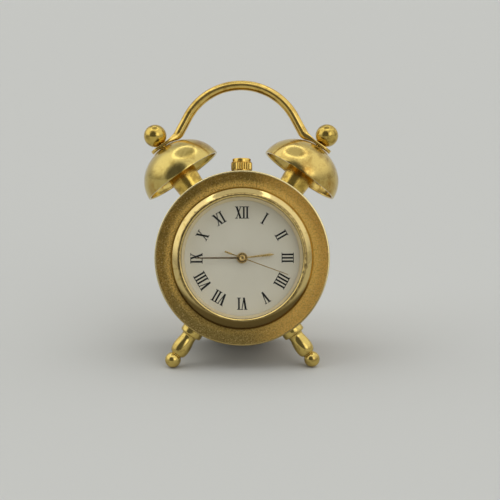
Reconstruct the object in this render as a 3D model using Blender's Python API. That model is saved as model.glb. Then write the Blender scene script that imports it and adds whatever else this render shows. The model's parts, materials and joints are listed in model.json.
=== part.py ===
"""Miniature twin-bell alarm clock: a brass case on two turned feet, with a small quartz movement.

The clock is modelled upright in its own frame: X to the right, Y from the front rim towards the back,
Z up, origin on the case axis. One empty carries everything and leans it back, until both feet and the
lower rear edge of the case stand on one plane.

Pieces along the case axis are drawn in plan, x to the right and y towards six o'clock, and stand on the
depth behind the front rim. Pieces that point away from the case axis are drawn upright, and stand on the
distance from that axis.
"""

import math

import bmesh
import bpy
from mathutils import Matrix

MM = 0.001

# Fits
SEAT_GAP = 0.10 * MM
RUNNING_GAP = 0.06 * MM
OVERRUN = 1.0 * MM
WELD = 0.0001 * MM
SMOOTH_ANGLE = math.radians(32)

# Facets round each kind of circle
CASE_STEPS = 44
BELL_STEPS = 28
TURNED_STEPS = 16
SMALL_STEPS = 12
PIVOT_STEPS = 8
ARC_STEPS = 4
DISH_STEPS = 3

# Case
FLANGE_RADIUS = 21.15 * MM
FLANGE_THICKNESS = 1.0 * MM
LIP_WIDTH = 0.4 * MM
EDGE_BREAK = 0.15 * MM
DISH_DEPTH = 1.3 * MM
DISH_WIDTH = 2.85 * MM
DISH_HOLLOW = 0.22 * MM
DISH_FLOOR_WIDTH = 1.95 * MM
WEB_THICKNESS = 1.5 * MM
FLANGE_OVERHANG = 0.55 * MM
DRUM_WALL = 2.0 * MM
CASE_DEPTH = 26.0 * MM
REAR_ROUND = 0.7 * MM
REBATE_WIDTH = 0.8 * MM
REBATE_DEPTH = 0.8 * MM

# Bezel and crystal
BEZEL_OVERLAP = 1.38 * MM
BEZEL_WIDTH = 2.63 * MM
BEZEL_PROUD = 1.2 * MM
BEZEL_SIDE = 1.1 * MM
BEZEL_LIP_DROP = 0.5 * MM
CRYSTAL_THICKNESS = 0.9 * MM
CRYSTAL_SET = 0.6 * MM
CRYSTAL_LEDGE = 0.45 * MM
REHAUT_SLOPE = 0.25 * MM
BEZEL_DEPTH = 2.35 * MM

# Dial and hands
DIAL_MARGIN = 0.75 * MM
DIAL_DEPTH = 2.5 * MM
DIAL_THICKNESS = 0.3 * MM
DIAL_HOLE_RADIUS = 1.15 * MM
HAND_THICKNESS = 0.15 * MM
HAND_SPACING = 0.5 * MM
HAND_TIP_WIDTH = 0.1 * MM
HOUR_HAND_SHARE = 0.513
HOUR_HAND_WIDTH = 0.62 * MM
HOUR_HAND_HUB = 1.35 * MM
MINUTE_HAND_SHARE = 0.757
MINUTE_HAND_WIDTH = 0.5 * MM
MINUTE_HAND_HUB = 1.05 * MM
SECOND_HAND_SHARE = 0.776
SECOND_HAND_WIDTH = 0.2 * MM
SECOND_HAND_TAIL_SHARE = 0.296
SECOND_HAND_TAIL_WIDTH = 0.42 * MM
SECOND_HAND_HUB = 0.62 * MM
HAND_NECK_SHARE = 0.55
HAND_BELLY_SHARE = 0.72
TAIL_NECK_SHARE = 0.45
HOUR_ANGLE = math.radians(83.7)
MINUTE_ANGLE = math.radians(270)
SECOND_ANGLE = math.radians(110.3)

# Back cover
COVER_THICKNESS = 1.1 * MM
COVER_SKIRT_LENGTH = 2.6 * MM
COVER_SKIRT_WALL = 1.1 * MM
COVER_CHAMFER = 0.2 * MM
PRY_NOTCH_WIDTH = 3.0 * MM
PRY_NOTCH_DEPTH = 0.6 * MM
PRY_NOTCH_HEIGHT = 0.45 * MM

# Bells and their posts
BELL_ANGLE = math.radians(34.8)
BELL_DEPTH = 12.5 * MM
BELL_RIM_STAND = 5.0 * MM
BELL_RADIUS = 10.4 * MM
BELL_HEIGHT = 8.75 * MM
BELL_WALL = 0.6 * MM
POST_FOOT_RADIUS = 3.45 * MM
POST_HEAD_RADIUS = 3.8 * MM
POST_LENGTH = 6.2 * MM
POST_NECK_RADIUS = 2.3 * MM
POST_CHAMFER = 0.25 * MM
SPIGOT_RADIUS = 1.6 * MM

# Ball knobs
KNOB_RADIUS = 2.9 * MM
KNOB_STUD_RADIUS = 0.9 * MM
KNOB_STUD_LENGTH = 4.6 * MM
KNOB_SEAT_RADIUS = 1.1 * MM

# Handle
WIRE_RADIUS = 1.25 * MM
TAB_THICKNESS = 0.8 * MM
TAB_WIDTH = 3.8 * MM
TAB_OVERHANG = 3.1 * MM
TAB_FLAT = 1.6 * MM
ARCH_RADIUS = 15.3 * MM
ARCH_RISE = 0.08 * MM
ARCH_SWEEP = math.radians(62)
TAB_BEND_RADIUS = 3.2 * MM
WIRE_SIDES = 10
ARCH_STEPS = 8
TAPER_STEPS = 3
ROUND_POWER = 2.0
TAB_POWER = 5.0
TAB_END_SHARES = (0.0, 0.3, 0.7)

# Feet
FOOT_ANGLE = math.radians(145.5)
FOOT_DEPTH = 4.2 * MM
FOOT_STUD_RADIUS = 1.1 * MM
FOOT_COLLAR_RADIUS = 2.75 * MM
FOOT_COLLAR_LENGTH = 2.0 * MM
FOOT_COLLAR_ROUND = 0.5 * MM
FOOT_GROOVE_STAND = 2.7 * MM
FOOT_GROOVE_RADIUS = 1.85 * MM
FOOT_GROOVE_WIDTH = 0.5 * MM
FOOT_BELLY_STAND = 3.0 * MM
FOOT_BELLY_RADIUS = 2.2 * MM
FOOT_NECK_STAND = 1.9 * MM
FOOT_NECK_RADIUS = 1.35 * MM
FOOT_BALL_STAND = 1.65 * MM
FOOT_BALL_RADIUS = 1.95 * MM

# Crown, stem and keyless work
CROWN_RADIUS = 2.6 * MM
CROWN_FLUTES = 26
CROWN_FLUTE_DEPTH = 0.14 * MM
CROWN_CLEARANCE = 0.7 * MM
CROWN_SKIRT_HEIGHT = 2.3 * MM
CROWN_TOP_RADIUS = 2.25 * MM
CROWN_TOP_HEIGHT = 0.75 * MM
CROWN_CHAMFER = 0.2 * MM
CROWN_BORE_DEPTH = 2.2 * MM
CROWN_PULL = 0.6 * MM
STEM_DEPTH = 4.0 * MM
STEM_RADIUS = 0.45 * MM
STEM_SQUARE = 0.56 * MM
STEM_PILOT_RADIUS = 0.22 * MM
STEM_PILOT_LENGTH = 0.5 * MM
STEM_GROOVE_RADIUS = 0.25 * MM
STEM_GROOVE_WIDTH = 0.6 * MM
STEM_LAND = 0.4 * MM
CLUTCH_PINION_RADIUS = 0.75 * MM
CLUTCH_PINION_WAIST = 0.5 * MM
CLUTCH_PINION_LENGTH = 1.5 * MM
CLUTCH_PINION_LEAVES = 12
CLUTCH_PINION_LAND_SHARES = (0.35, 0.65)
KEYLESS_WALL = 0.6 * MM
LEVER_ARM = 2.4 * MM
LEVER_THICKNESS = 0.3 * MM
LEVER_BOSS_RADIUS = 0.6 * MM
LEVER_NOSE_RADIUS = 0.32 * MM
LEVER_PEG_RADIUS = 0.18 * MM
LEVER_PEG_LENGTH = 0.3 * MM

# Movement plates
PLATE_MARGIN = 0.68 * MM
PLATE_THICKNESS = 2.0 * MM
RECESS_DEPTH = 1.2 * MM
HOLDER_THICKNESS = 2.1 * MM
HOLDER_SLEEVE_WALL = 1.2 * MM
TRAIN_SPACE = 2.1 * MM
BRIDGE_THICKNESS = 0.6 * MM
BRIDGE_LOBE_RADIUS = 1.3 * MM
PILLAR_RADIUS = 0.75 * MM
PILLAR_ANGLES = (math.radians(20), math.radians(187), math.radians(62))
PILLAR_REACH = 6.3 * MM
PILLAR_REACH_SHARES = (0.778, 0.786, 1.0)
SCREW_RADIUS = 0.35 * MM
SCREW_HEAD_RADIUS = 0.72 * MM
SCREW_HEAD_HEIGHT = 0.4 * MM
SCREW_IN_PLATE = 0.5 * MM

# Toothed wheels: numbers of teeth and modules
CANNON_TEETH = 8
MINUTE_WHEEL_TEETH = 24
MINUTE_PINION_TEETH = 6
HOUR_WHEEL_TEETH = 24
SETTING_WHEEL_TEETH = 12
MOTION_MODULE = 0.225 * MM
ROTOR_PINION_TEETH = 6
INTERMEDIATE_WHEEL_TEETH = 36
INTERMEDIATE_PINION_TEETH = 6
SECOND_WHEEL_TEETH = 30
SECOND_PINION_TEETH = 6
THIRD_WHEEL_TEETH = 45
THIRD_PINION_TEETH = 6
CENTRE_WHEEL_TEETH = 48
ROTOR_MODULE = 0.15 * MM
SECOND_MODULE = 0.205 * MM
CENTRE_MODULE = 0.13 * MM
WHEEL_ADDENDUM_SHARE = 0.85
ROOT_DEPTH_SHARE = 1.3
WHEEL_ROOT_SHARE = 0.36
LEAF_ROOT_SHARE = 0.32

# Depths and thicknesses in the two trains
WHEEL_THICKNESS = 0.2 * MM
LEAF_LENGTH = 0.4 * MM
TRAIN_LEVEL = 0.1 * MM
TRAIN_LEVEL_SPACING = 0.48 * MM
MOTION_LEVEL = 0.12 * MM
MOTION_LEVEL_SPACING = 0.45 * MM
ARBOR_RADIUS = 0.15 * MM
PIVOT_DEPTH = 0.35 * MM
SECOND_ARBOR_RADIUS = 0.18 * MM
CENTRE_TUBE_RADIUS = 0.38 * MM
CENTRE_TUBE_BORE = 0.25 * MM
CANNON_PIPE_RADIUS = 0.58 * MM
CANNON_BORE = 0.44 * MM
HOUR_PIPE_RADIUS = 0.9 * MM
HOUR_PIPE_BORE = 0.68 * MM
MOTION_POST_RADIUS = 0.25 * MM
PIPE_STAND = 0.1 * MM

# Places in the movement, as angles clockwise from twelve
MINUTE_WHEEL_ANGLE = math.radians(50)
THIRD_ANGLE = math.radians(300)
INTERMEDIATE_ANGLE = math.radians(110)
ROTOR_ANGLE = math.radians(130)

# Motor, circuit and battery
MAGNET_RADIUS = 0.8 * MM
MAGNET_THICKNESS = 0.7 * MM
STATOR_THICKNESS = 0.4 * MM
STATOR_HOLE_RADIUS = 1.1 * MM
STATOR_EYE_RADIUS = 1.9 * MM
STATOR_FOOT_RADIUS = 0.9 * MM
COIL_CENTRE_X = 2.5 * MM
COIL_CENTRE_Y = 8.8 * MM
COIL_LENGTH = 7.0 * MM
COIL_RADIUS = 0.95 * MM
COIL_FLANGE_RADIUS = 1.1 * MM
COIL_FLANGE_THICKNESS = 0.35 * MM
BOARD_CENTRE_X = -5.2 * MM
BOARD_CENTRE_Y = -7.0 * MM
BOARD_LENGTH = 5.4 * MM
BOARD_WIDTH = 3.0 * MM
BOARD_THICKNESS = 0.3 * MM
CHIP_RADIUS = 0.8 * MM
CHIP_HEIGHT = 0.4 * MM
CAN_RADIUS = 0.7 * MM
CAN_LENGTH = 4.0 * MM
BATTERY_CENTRE_X = -5.6 * MM
BATTERY_CENTRE_Y = 5.6 * MM
BATTERY_RADIUS = 3.4 * MM
BATTERY_HEIGHT = 2.6 * MM
BATTERY_STEP = 0.45 * MM
CLIP_THICKNESS = 0.2 * MM
CLIP_END_RADIUS = 1.0 * MM

# Worked-out places
DISH_INNER_RADIUS = FLANGE_RADIUS - LIP_WIDTH - DISH_WIDTH
FRONT_BORE_RADIUS = DISH_INNER_RADIUS - DISH_FLOOR_WIDTH
BEZEL_RADIUS = FRONT_BORE_RADIUS + BEZEL_OVERLAP
CRYSTAL_RADIUS = BEZEL_RADIUS - BEZEL_WIDTH - SEAT_GAP
REHAUT_RADIUS = CRYSTAL_RADIUS + SEAT_GAP - CRYSTAL_LEDGE - REHAUT_SLOPE
DIAL_RADIUS = FRONT_BORE_RADIUS - DIAL_MARGIN
HOUR_HAND_LENGTH = DIAL_RADIUS * HOUR_HAND_SHARE
MINUTE_HAND_LENGTH = DIAL_RADIUS * MINUTE_HAND_SHARE
SECOND_HAND_LENGTH = DIAL_RADIUS * SECOND_HAND_SHARE
SECOND_HAND_TAIL = DIAL_RADIUS * SECOND_HAND_TAIL_SHARE
DRUM_RADIUS = FLANGE_RADIUS - FLANGE_OVERHANG
DRUM_INNER_RADIUS = DRUM_RADIUS - DRUM_WALL
REBATE_RADIUS = DRUM_INNER_RADIUS + REBATE_WIDTH
WEB_BACK = DISH_DEPTH + WEB_THICKNESS
DIAL_BACK = DIAL_DEPTH + DIAL_THICKNESS
PLATE_RADIUS = math.hypot(BATTERY_CENTRE_X, BATTERY_CENTRE_Y) + BATTERY_RADIUS + PLATE_MARGIN
PLATE_FRONT = max(DIAL_BACK, WEB_BACK) + SEAT_GAP
PLATE_BACK = PLATE_FRONT + PLATE_THICKNESS
RECESS_FLOOR = PLATE_FRONT + RECESS_DEPTH
BRIDGE_FRONT = PLATE_BACK + TRAIN_SPACE
BRIDGE_BACK = BRIDGE_FRONT + BRIDGE_THICKNESS
HOUR_HAND_DEPTH = DIAL_DEPTH - HAND_SPACING
MINUTE_HAND_DEPTH = HOUR_HAND_DEPTH - HAND_SPACING
SECOND_HAND_DEPTH = MINUTE_HAND_DEPTH - HAND_SPACING
HOUR_LEVEL = PLATE_FRONT + MOTION_LEVEL
MINUTE_LEVEL = HOUR_LEVEL + MOTION_LEVEL_SPACING
CENTRE_LEVEL = PLATE_BACK + TRAIN_LEVEL
THIRD_LEVEL = CENTRE_LEVEL + TRAIN_LEVEL_SPACING
SECOND_LEVEL = THIRD_LEVEL + TRAIN_LEVEL_SPACING
INTERMEDIATE_LEVEL = SECOND_LEVEL + TRAIN_LEVEL_SPACING
BELL_RIM_DISTANCE = DRUM_RADIUS + BELL_RIM_STAND
BELL_APEX_DISTANCE = BELL_RIM_DISTANCE + BELL_HEIGHT
POST_SHOULDER_DISTANCE = DRUM_RADIUS + POST_LENGTH
TAB_DISTANCE = BELL_APEX_DISTANCE + SEAT_GAP + TAB_THICKNESS / 2
ARCH_CENTRE_HEIGHT = TAB_DISTANCE * math.cos(BELL_ANGLE) + ARCH_RISE
KNOB_SEAT_DISTANCE = TAB_DISTANCE + TAB_THICKNESS / 2 + SEAT_GAP
FOOT_GROOVE_DISTANCE = DRUM_RADIUS + FOOT_GROOVE_STAND
FOOT_BELLY_DISTANCE = FOOT_GROOVE_DISTANCE + FOOT_BELLY_STAND
FOOT_NECK_DISTANCE = FOOT_BELLY_DISTANCE + FOOT_NECK_STAND
FOOT_BALL_DISTANCE = FOOT_NECK_DISTANCE + FOOT_BALL_STAND
COVER_BACK = CASE_DEPTH - REBATE_DEPTH + SEAT_GAP + COVER_THICKNESS
CROWN_BASE = DRUM_RADIUS + CROWN_CLEARANCE
HOUR_MODULE = (
    MOTION_MODULE * (CANNON_TEETH + MINUTE_WHEEL_TEETH) / (MINUTE_PINION_TEETH + HOUR_WHEEL_TEETH)
)
SECOND_THIRD_MODULE = (
    CENTRE_MODULE * (THIRD_PINION_TEETH + CENTRE_WHEEL_TEETH) / (SECOND_PINION_TEETH + THIRD_WHEEL_TEETH)
)


def centre_distance(module, first_teeth, second_teeth):
    return module * (first_teeth + second_teeth) / 2


def from_centre(angle, distance):
    """Plan place at an angle clockwise from twelve."""
    return distance * math.sin(angle), -distance * math.cos(angle)


MOTION_DISTANCE = centre_distance(MOTION_MODULE, CANNON_TEETH, MINUTE_WHEEL_TEETH)
MINUTE_WHEEL_PLACE = from_centre(MINUTE_WHEEL_ANGLE, MOTION_DISTANCE)
SETTING_DISTANCE = centre_distance(MOTION_MODULE, MINUTE_WHEEL_TEETH, SETTING_WHEEL_TEETH)
SETTING_WHEEL_PLACE = (
    0,
    MINUTE_WHEEL_PLACE[1] - math.sqrt(SETTING_DISTANCE**2 - MINUTE_WHEEL_PLACE[0] ** 2),
)
THIRD_PLACE = from_centre(
    THIRD_ANGLE, centre_distance(CENTRE_MODULE, THIRD_PINION_TEETH, CENTRE_WHEEL_TEETH)
)
INTERMEDIATE_PLACE = from_centre(
    INTERMEDIATE_ANGLE, centre_distance(SECOND_MODULE, INTERMEDIATE_PINION_TEETH, SECOND_WHEEL_TEETH)
)
ROTOR_OFFSET = from_centre(
    ROTOR_ANGLE, centre_distance(ROTOR_MODULE, ROTOR_PINION_TEETH, INTERMEDIATE_WHEEL_TEETH)
)
ROTOR_PLACE = (INTERMEDIATE_PLACE[0] + ROTOR_OFFSET[0], INTERMEDIATE_PLACE[1] + ROTOR_OFFSET[1])
BATTERY_PLACE = (BATTERY_CENTRE_X, BATTERY_CENTRE_Y)
PILLAR_PLACES = [
    from_centre(angle, share * PILLAR_REACH) for angle, share in zip(PILLAR_ANGLES, PILLAR_REACH_SHARES)
]

SETTING_WHEEL_TIP = MOTION_MODULE * (SETTING_WHEEL_TEETH / 2 + WHEEL_ADDENDUM_SHARE)
SETTING_RECESS_RADIUS = SETTING_WHEEL_TIP + SEAT_GAP
WINDOW_LOW = SETTING_RECESS_RADIUS - SETTING_WHEEL_PLACE[1] + KEYLESS_WALL
WINDOW_HIGH = WINDOW_LOW + CLUTCH_PINION_LENGTH + 2 * SEAT_GAP
STEM_GROOVE_DISTANCE = WINDOW_HIGH + STEM_LAND
LEVER_HALF_SWING = math.asin(CROWN_PULL / 2 / LEVER_ARM)
LEVER_PIVOT_HEIGHT = STEM_GROOVE_DISTANCE + STEM_GROOVE_WIDTH / 2 + CROWN_PULL / 2
LEVER_FRONT = STEM_DEPTH + STEM_GROOVE_RADIUS + SEAT_GAP + LEVER_PEG_LENGTH


def clear_scene():
    for item in list(bpy.data.objects):
        bpy.data.objects.remove(item, do_unlink=True)


def make_material(name, colour, roughness, metallic, alpha=1.0):
    material = bpy.data.materials.new(name)
    material.use_nodes = True
    shader = material.node_tree.nodes["Principled BSDF"]
    shader.inputs["Base Color"].default_value = (*colour, 1.0)
    shader.inputs["Roughness"].default_value = roughness
    shader.inputs["Metallic"].default_value = metallic
    shader.inputs["Alpha"].default_value = alpha
    return material


def make_materials():
    return {
        "case": make_material("sanded_brass", (0.36, 0.23, 0.07), 0.5, 1.0),
        "polished": make_material("polished_brass", (0.62, 0.43, 0.14), 0.18, 1.0),
        "satin": make_material("satin_brass", (0.5, 0.35, 0.11), 0.32, 1.0),
        "hands": make_material("gilt_hands", (0.55, 0.36, 0.1), 0.25, 1.0),
        "dial": make_material("cream_dial", (0.72, 0.68, 0.56), 0.5, 0.0),
        "glass": make_material("crystal_glass", (0.95, 0.97, 0.96), 0.03, 0.0, 0.2),
        "gear": make_material("movement_brass", (0.6, 0.45, 0.18), 0.3, 1.0),
        "steel": make_material("movement_steel", (0.5, 0.5, 0.52), 0.25, 1.0),
        "plastic": make_material("holder_plastic", (0.65, 0.65, 0.62), 0.5, 0.0),
        "copper": make_material("coil_copper", (0.6, 0.22, 0.1), 0.35, 1.0),
        "board": make_material("circuit_board", (0.03, 0.16, 0.07), 0.45, 0.0),
    }


def axial(place=(0, 0), turn=0.0):
    """Matrix from plan coordinates and depth to the clock frame, at a plan place and turned clockwise."""
    stand = Matrix.Rotation(-math.pi / 2, 4, "X")
    return stand @ Matrix.Translation((*place, 0)) @ Matrix.Rotation(turn, 4, "Z")


def radial(angle, depth):
    """Matrix that points local Z away from the case axis, at an angle clockwise from twelve."""
    return Matrix.Translation((0, depth, 0)) @ Matrix.Rotation(angle, 4, "Y")


def add_object(name, bm, material, frame, matrix):
    bmesh.ops.recalc_face_normals(bm, faces=bm.faces)
    mesh = bpy.data.meshes.new(name)
    bm.to_mesh(mesh)
    bm.free()
    mesh.shade_smooth()
    mesh.set_sharp_from_angle(angle=SMOOTH_ANGLE)
    item = bpy.data.objects.new(name, mesh)
    if material:
        mesh.materials.append(material)
    bpy.context.collection.objects.link(item)
    item.parent = frame
    item.matrix_local = matrix
    return item


def add_helper(name, bm, frame, matrix):
    helper = add_object(name, bm, None, frame, matrix)
    helper.hide_render = True
    helper.display_type = "WIRE"
    return helper


def combine(item, helper, operation="DIFFERENCE"):
    modifier = item.modifiers.new(helper.name, "BOOLEAN")
    modifier.operation = operation
    modifier.solver = "EXACT"
    modifier.object = helper


def turned(profile, steps, closed=False):
    """Body of a profile of (radius, height) points, spun about Z."""
    bm = bmesh.new()
    points = [bm.verts.new((radius, 0, height)) for radius, height in profile]
    ends = points[1:] + points[:1] if closed else points[1:]
    edges = [bm.edges.new(pair) for pair in zip(points, ends)]
    bmesh.ops.spin(
        bm, geom=points + edges, cent=(0, 0, 0), axis=(0, 0, 1), angle=math.tau, steps=steps
    )
    bmesh.ops.remove_doubles(bm, verts=bm.verts, dist=WELD)
    return bm


def circle(radius, steps, place=(0, 0)):
    return [
        (
            place[0] + radius * math.cos(math.tau * step / steps),
            place[1] + radius * math.sin(math.tau * step / steps),
        )
        for step in range(steps)
    ]


def square(side):
    half = side / 2
    return [(half, half), (-half, half), (-half, -half), (half, -half)]


def rectangle(x_centre, y_centre, x_size, y_size):
    right, left = x_centre + x_size / 2, x_centre - x_size / 2
    low, high = y_centre - y_size / 2, y_centre + y_size / 2
    return [(right, high), (left, high), (left, low), (right, low)]


def toothed(teeth, module, phase, root_share):
    """Outline of a wheel with pointed teeth, the first one centred on the phase angle."""
    pitch = math.tau / teeth
    root = module * (teeth / 2 - ROOT_DEPTH_SHARE)
    tip = module * (teeth / 2 + WHEEL_ADDENDUM_SHARE)
    corners = ((root, -root_share), (tip, 0), (root, root_share))
    outline = []
    for tooth in range(teeth):
        for radius, share in corners:
            angle = phase + (tooth + share) * pitch
            outline.append((radius * math.cos(angle), radius * math.sin(angle)))
    return outline


def wheel_outline(teeth, module, phase):
    return toothed(teeth, module, phase, WHEEL_ROOT_SHARE)


def pinion_outline(teeth, module, phase):
    return toothed(teeth, module, phase, LEAF_ROOT_SHARE)


def direction(start, end):
    return math.atan2(end[1] - start[1], end[0] - start[0])


def meshing_phase(towards, teeth, phase, other_teeth):
    """Phase of the wheel that meshes with one of the given phase, which lies back along the direction."""
    pitch = math.tau / teeth
    behind = (towards - phase) % pitch
    return towards + math.pi + behind * teeth / other_teeth + math.pi / other_teeth


def hull(circles, steps):
    """Convex outline round circles given as (x, y, radius)."""
    points = sorted(
        point for x, y, radius in circles for point in circle(radius, steps, (x, y))
    )

    def half(ordered):
        chain = []
        for point in ordered:
            while len(chain) > 1 and turn_of(chain[-2], chain[-1], point) <= 0:
                chain.pop()
            chain.append(point)
        return chain[:-1]

    return half(points) + half(points[::-1])


def turn_of(first, second, third):
    return (second[0] - first[0]) * (third[1] - first[1]) - (second[1] - first[1]) * (third[0] - first[0])


def ring_of(bm, outline, height):
    verts = [bm.verts.new((x, y, height)) for x, y in outline]
    edges = [bm.edges.new(pair) for pair in zip(verts, verts[1:] + verts[:1])]
    return verts, edges


def wall_between(bm, low, high):
    for index in range(len(low)):
        bm.faces.new((low[index - 1], low[index], high[index], high[index - 1]))


def fill_between(bm, *loops):
    bmesh.ops.triangle_fill(bm, use_beauty=True, edges=[edge for loop in loops for edge in loop])


def stacked(layers, bore=None, bore_top=None):
    """Body of layers along Z, each (outline, low, high) or (low outline, high outline, low, high).

    A bore outline runs through all layers, or up to bore_top.
    """
    bm = bmesh.new()
    top_edges = None
    for layer in layers:
        low_outline, high_outline = layer[0], layer[-3]
        low_verts, low_edges = ring_of(bm, low_outline, layer[-2])
        high_verts, high_edges = ring_of(bm, high_outline, layer[-1])
        wall_between(bm, low_verts, high_verts)
        if top_edges is None:
            bottom_edges = low_edges
        else:
            fill_between(bm, top_edges, low_edges)
        top_edges = high_edges
    if bore is None:
        fill_between(bm, bottom_edges)
        fill_between(bm, top_edges)
        return bm
    low_verts, low_edges = ring_of(bm, bore, layers[0][-2])
    high_verts, high_edges = ring_of(bm, bore, layers[-1][-1] if bore_top is None else bore_top)
    wall_between(bm, low_verts, high_verts)
    fill_between(bm, bottom_edges, low_edges)
    if bore_top is None:
        fill_between(bm, top_edges, high_edges)
    else:
        fill_between(bm, top_edges)
        fill_between(bm, high_edges)
    return bm


def joined(bodies):
    """One mesh of several separate bodies, for a helper."""
    whole = bmesh.new()
    for body in bodies:
        mesh = bpy.data.meshes.new("helper_part")
        body.to_mesh(mesh)
        body.free()
        whole.from_mesh(mesh)
        bpy.data.meshes.remove(mesh)
    return whole


def moved(bm, matrix):
    bmesh.ops.transform(bm, matrix=matrix, verts=bm.verts)
    return bm


def rod(radius, low, high, steps, place=(0, 0)):
    return stacked([(circle(radius, steps, place), low, high)])


def arc(centre, radii, start, end, steps):
    """Points (radius, height) of an elliptic arc, both ends included."""
    points = []
    for step in range(steps + 1):
        angle = start + (end - start) * step / steps
        points.append((centre[0] + radii[0] * math.cos(angle), centre[1] + radii[1] * math.sin(angle)))
    return points


def case_profile():
    """Cross-section of the case, from the front bore outwards and round the back."""
    lip_inner = FLANGE_RADIUS - LIP_WIDTH
    dish = []
    for step in range(DISH_STEPS):
        share = step / DISH_STEPS
        sag = DISH_HOLLOW * math.sin(math.pi * share)
        radius = DISH_INNER_RADIUS + (lip_inner - DISH_INNER_RADIUS) * share
        dish.append((radius, DISH_DEPTH + (EDGE_BREAK - DISH_DEPTH) * share + sag))
    rear = arc(
        (DRUM_RADIUS - REAR_ROUND, CASE_DEPTH - REAR_ROUND), (REAR_ROUND, REAR_ROUND), 0, math.pi / 2, 3
    )
    return [
        (FRONT_BORE_RADIUS, WEB_BACK),
        (FRONT_BORE_RADIUS, DISH_DEPTH),
        *dish,
        (lip_inner, 0),
        (FLANGE_RADIUS - EDGE_BREAK, 0),
        (FLANGE_RADIUS, EDGE_BREAK),
        (FLANGE_RADIUS, FLANGE_THICKNESS),
        (DRUM_RADIUS, FLANGE_THICKNESS),
        *rear,
        (REBATE_RADIUS, CASE_DEPTH),
        (REBATE_RADIUS, CASE_DEPTH - REBATE_DEPTH),
        (DRUM_INNER_RADIUS, CASE_DEPTH - REBATE_DEPTH),
        (DRUM_INNER_RADIUS, WEB_BACK),
    ]


def make_case(frame, materials):
    case = add_object(
        "case_drum", turned(case_profile(), CASE_STEPS, closed=True), materials["case"], frame, axial()
    )
    holes = []
    for angle, depth, radius in (
        (0, STEM_DEPTH, STEM_RADIUS + SEAT_GAP),
        (BELL_ANGLE, BELL_DEPTH, SPIGOT_RADIUS + SEAT_GAP),
        (-BELL_ANGLE, BELL_DEPTH, SPIGOT_RADIUS + SEAT_GAP),
        (FOOT_ANGLE, FOOT_DEPTH, FOOT_STUD_RADIUS + SEAT_GAP),
        (-FOOT_ANGLE, FOOT_DEPTH, FOOT_STUD_RADIUS + SEAT_GAP),
    ):
        hole = rod(radius, DRUM_INNER_RADIUS - OVERRUN, DRUM_RADIUS + OVERRUN, SMALL_STEPS)
        holes.append(moved(hole, radial(angle, depth)))
    combine(case, add_helper("case_holes", joined(holes), frame, Matrix.Identity(4)))


def make_bezel(frame, materials):
    pocket = CRYSTAL_RADIUS + SEAT_GAP
    ledge_depth = CRYSTAL_THICKNESS - CRYSTAL_SET + SEAT_GAP
    half_width = (BEZEL_RADIUS - pocket) / 2
    middle = (BEZEL_RADIUS + pocket) / 2
    side_top = BEZEL_SIDE - BEZEL_PROUD
    outer = arc((middle, side_top), (half_width, BEZEL_SIDE), 0, -math.pi / 2, ARC_STEPS)
    inner = arc(
        (middle, BEZEL_LIP_DROP - BEZEL_PROUD), (half_width, BEZEL_LIP_DROP), -math.pi / 2, -math.pi, 2
    )
    skirt = FRONT_BORE_RADIUS - SEAT_GAP
    profile = [
        (BEZEL_RADIUS, DISH_DEPTH - SEAT_GAP),
        *outer,
        *inner[1:],
        (pocket, ledge_depth),
        (pocket - CRYSTAL_LEDGE, ledge_depth),
        (REHAUT_RADIUS, BEZEL_DEPTH),
        (skirt, BEZEL_DEPTH),
        (skirt, DISH_DEPTH - SEAT_GAP),
    ]
    add_object("bezel", turned(profile, CASE_STEPS, closed=True), materials["polished"], frame, axial())


def make_crystal(frame, materials):
    outline = circle(CRYSTAL_RADIUS, CASE_STEPS)
    glass = stacked([(outline, -CRYSTAL_SET, CRYSTAL_THICKNESS - CRYSTAL_SET)])
    add_object("crystal", glass, materials["glass"], frame, axial())


def make_dial(frame, materials):
    layers = [(circle(DIAL_RADIUS, CASE_STEPS), DIAL_DEPTH, DIAL_BACK)]
    dial = stacked(layers, bore=circle(DIAL_HOLE_RADIUS, TURNED_STEPS))
    add_object("dial", dial, materials["dial"], frame, axial())


def hand_outline(hub, blade, tail=()):
    """Outline of a hand that points at twelve, -Y in plan.

    Blade and tail are (distance, half width) points outwards from the hub.
    """

    def edge(points, sign, side):
        return [(side * sign * half, sign * distance) for distance, half in points]

    def hub_arc(start, end, steps=SMALL_STEPS):
        turns = [start + (end - start) * step / steps for step in range(steps + 1)]
        return [(hub * math.sin(turn), -hub * math.cos(turn)) for turn in turns]

    neck = math.asin(blade[0][1] / hub)
    tail_neck = math.asin(tail[0][1] / hub) if tail else 0
    right = hub_arc(neck, math.pi - tail_neck)
    left = hub_arc(math.pi + tail_neck, math.tau - neck)
    if not tail:
        left = left[1:]
    return (
        edge(blade[::-1], -1, -1)
        + right
        + edge(tail, 1, 1)
        + edge(tail[::-1], 1, -1)
        + left
        + edge(blade, -1, 1)
    )


def lance(length, width):
    """Blade that widens towards two thirds of its length and ends in a fine tip."""
    return [
        (length * HAND_NECK_SHARE, width * HAND_NECK_SHARE / 2),
        (length * HAND_BELLY_SHARE, width / 2),
        (length, HAND_TIP_WIDTH / 2),
    ]


def make_hand(name, hub, blade, tail, bore, depth, angle, frame, materials):
    outline = hand_outline(hub, blade, tail)
    body = stacked([(outline, depth - HAND_THICKNESS, depth)], bore=circle(bore, SMALL_STEPS))
    add_object(name, body, materials["hands"], frame, axial(turn=angle))


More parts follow.
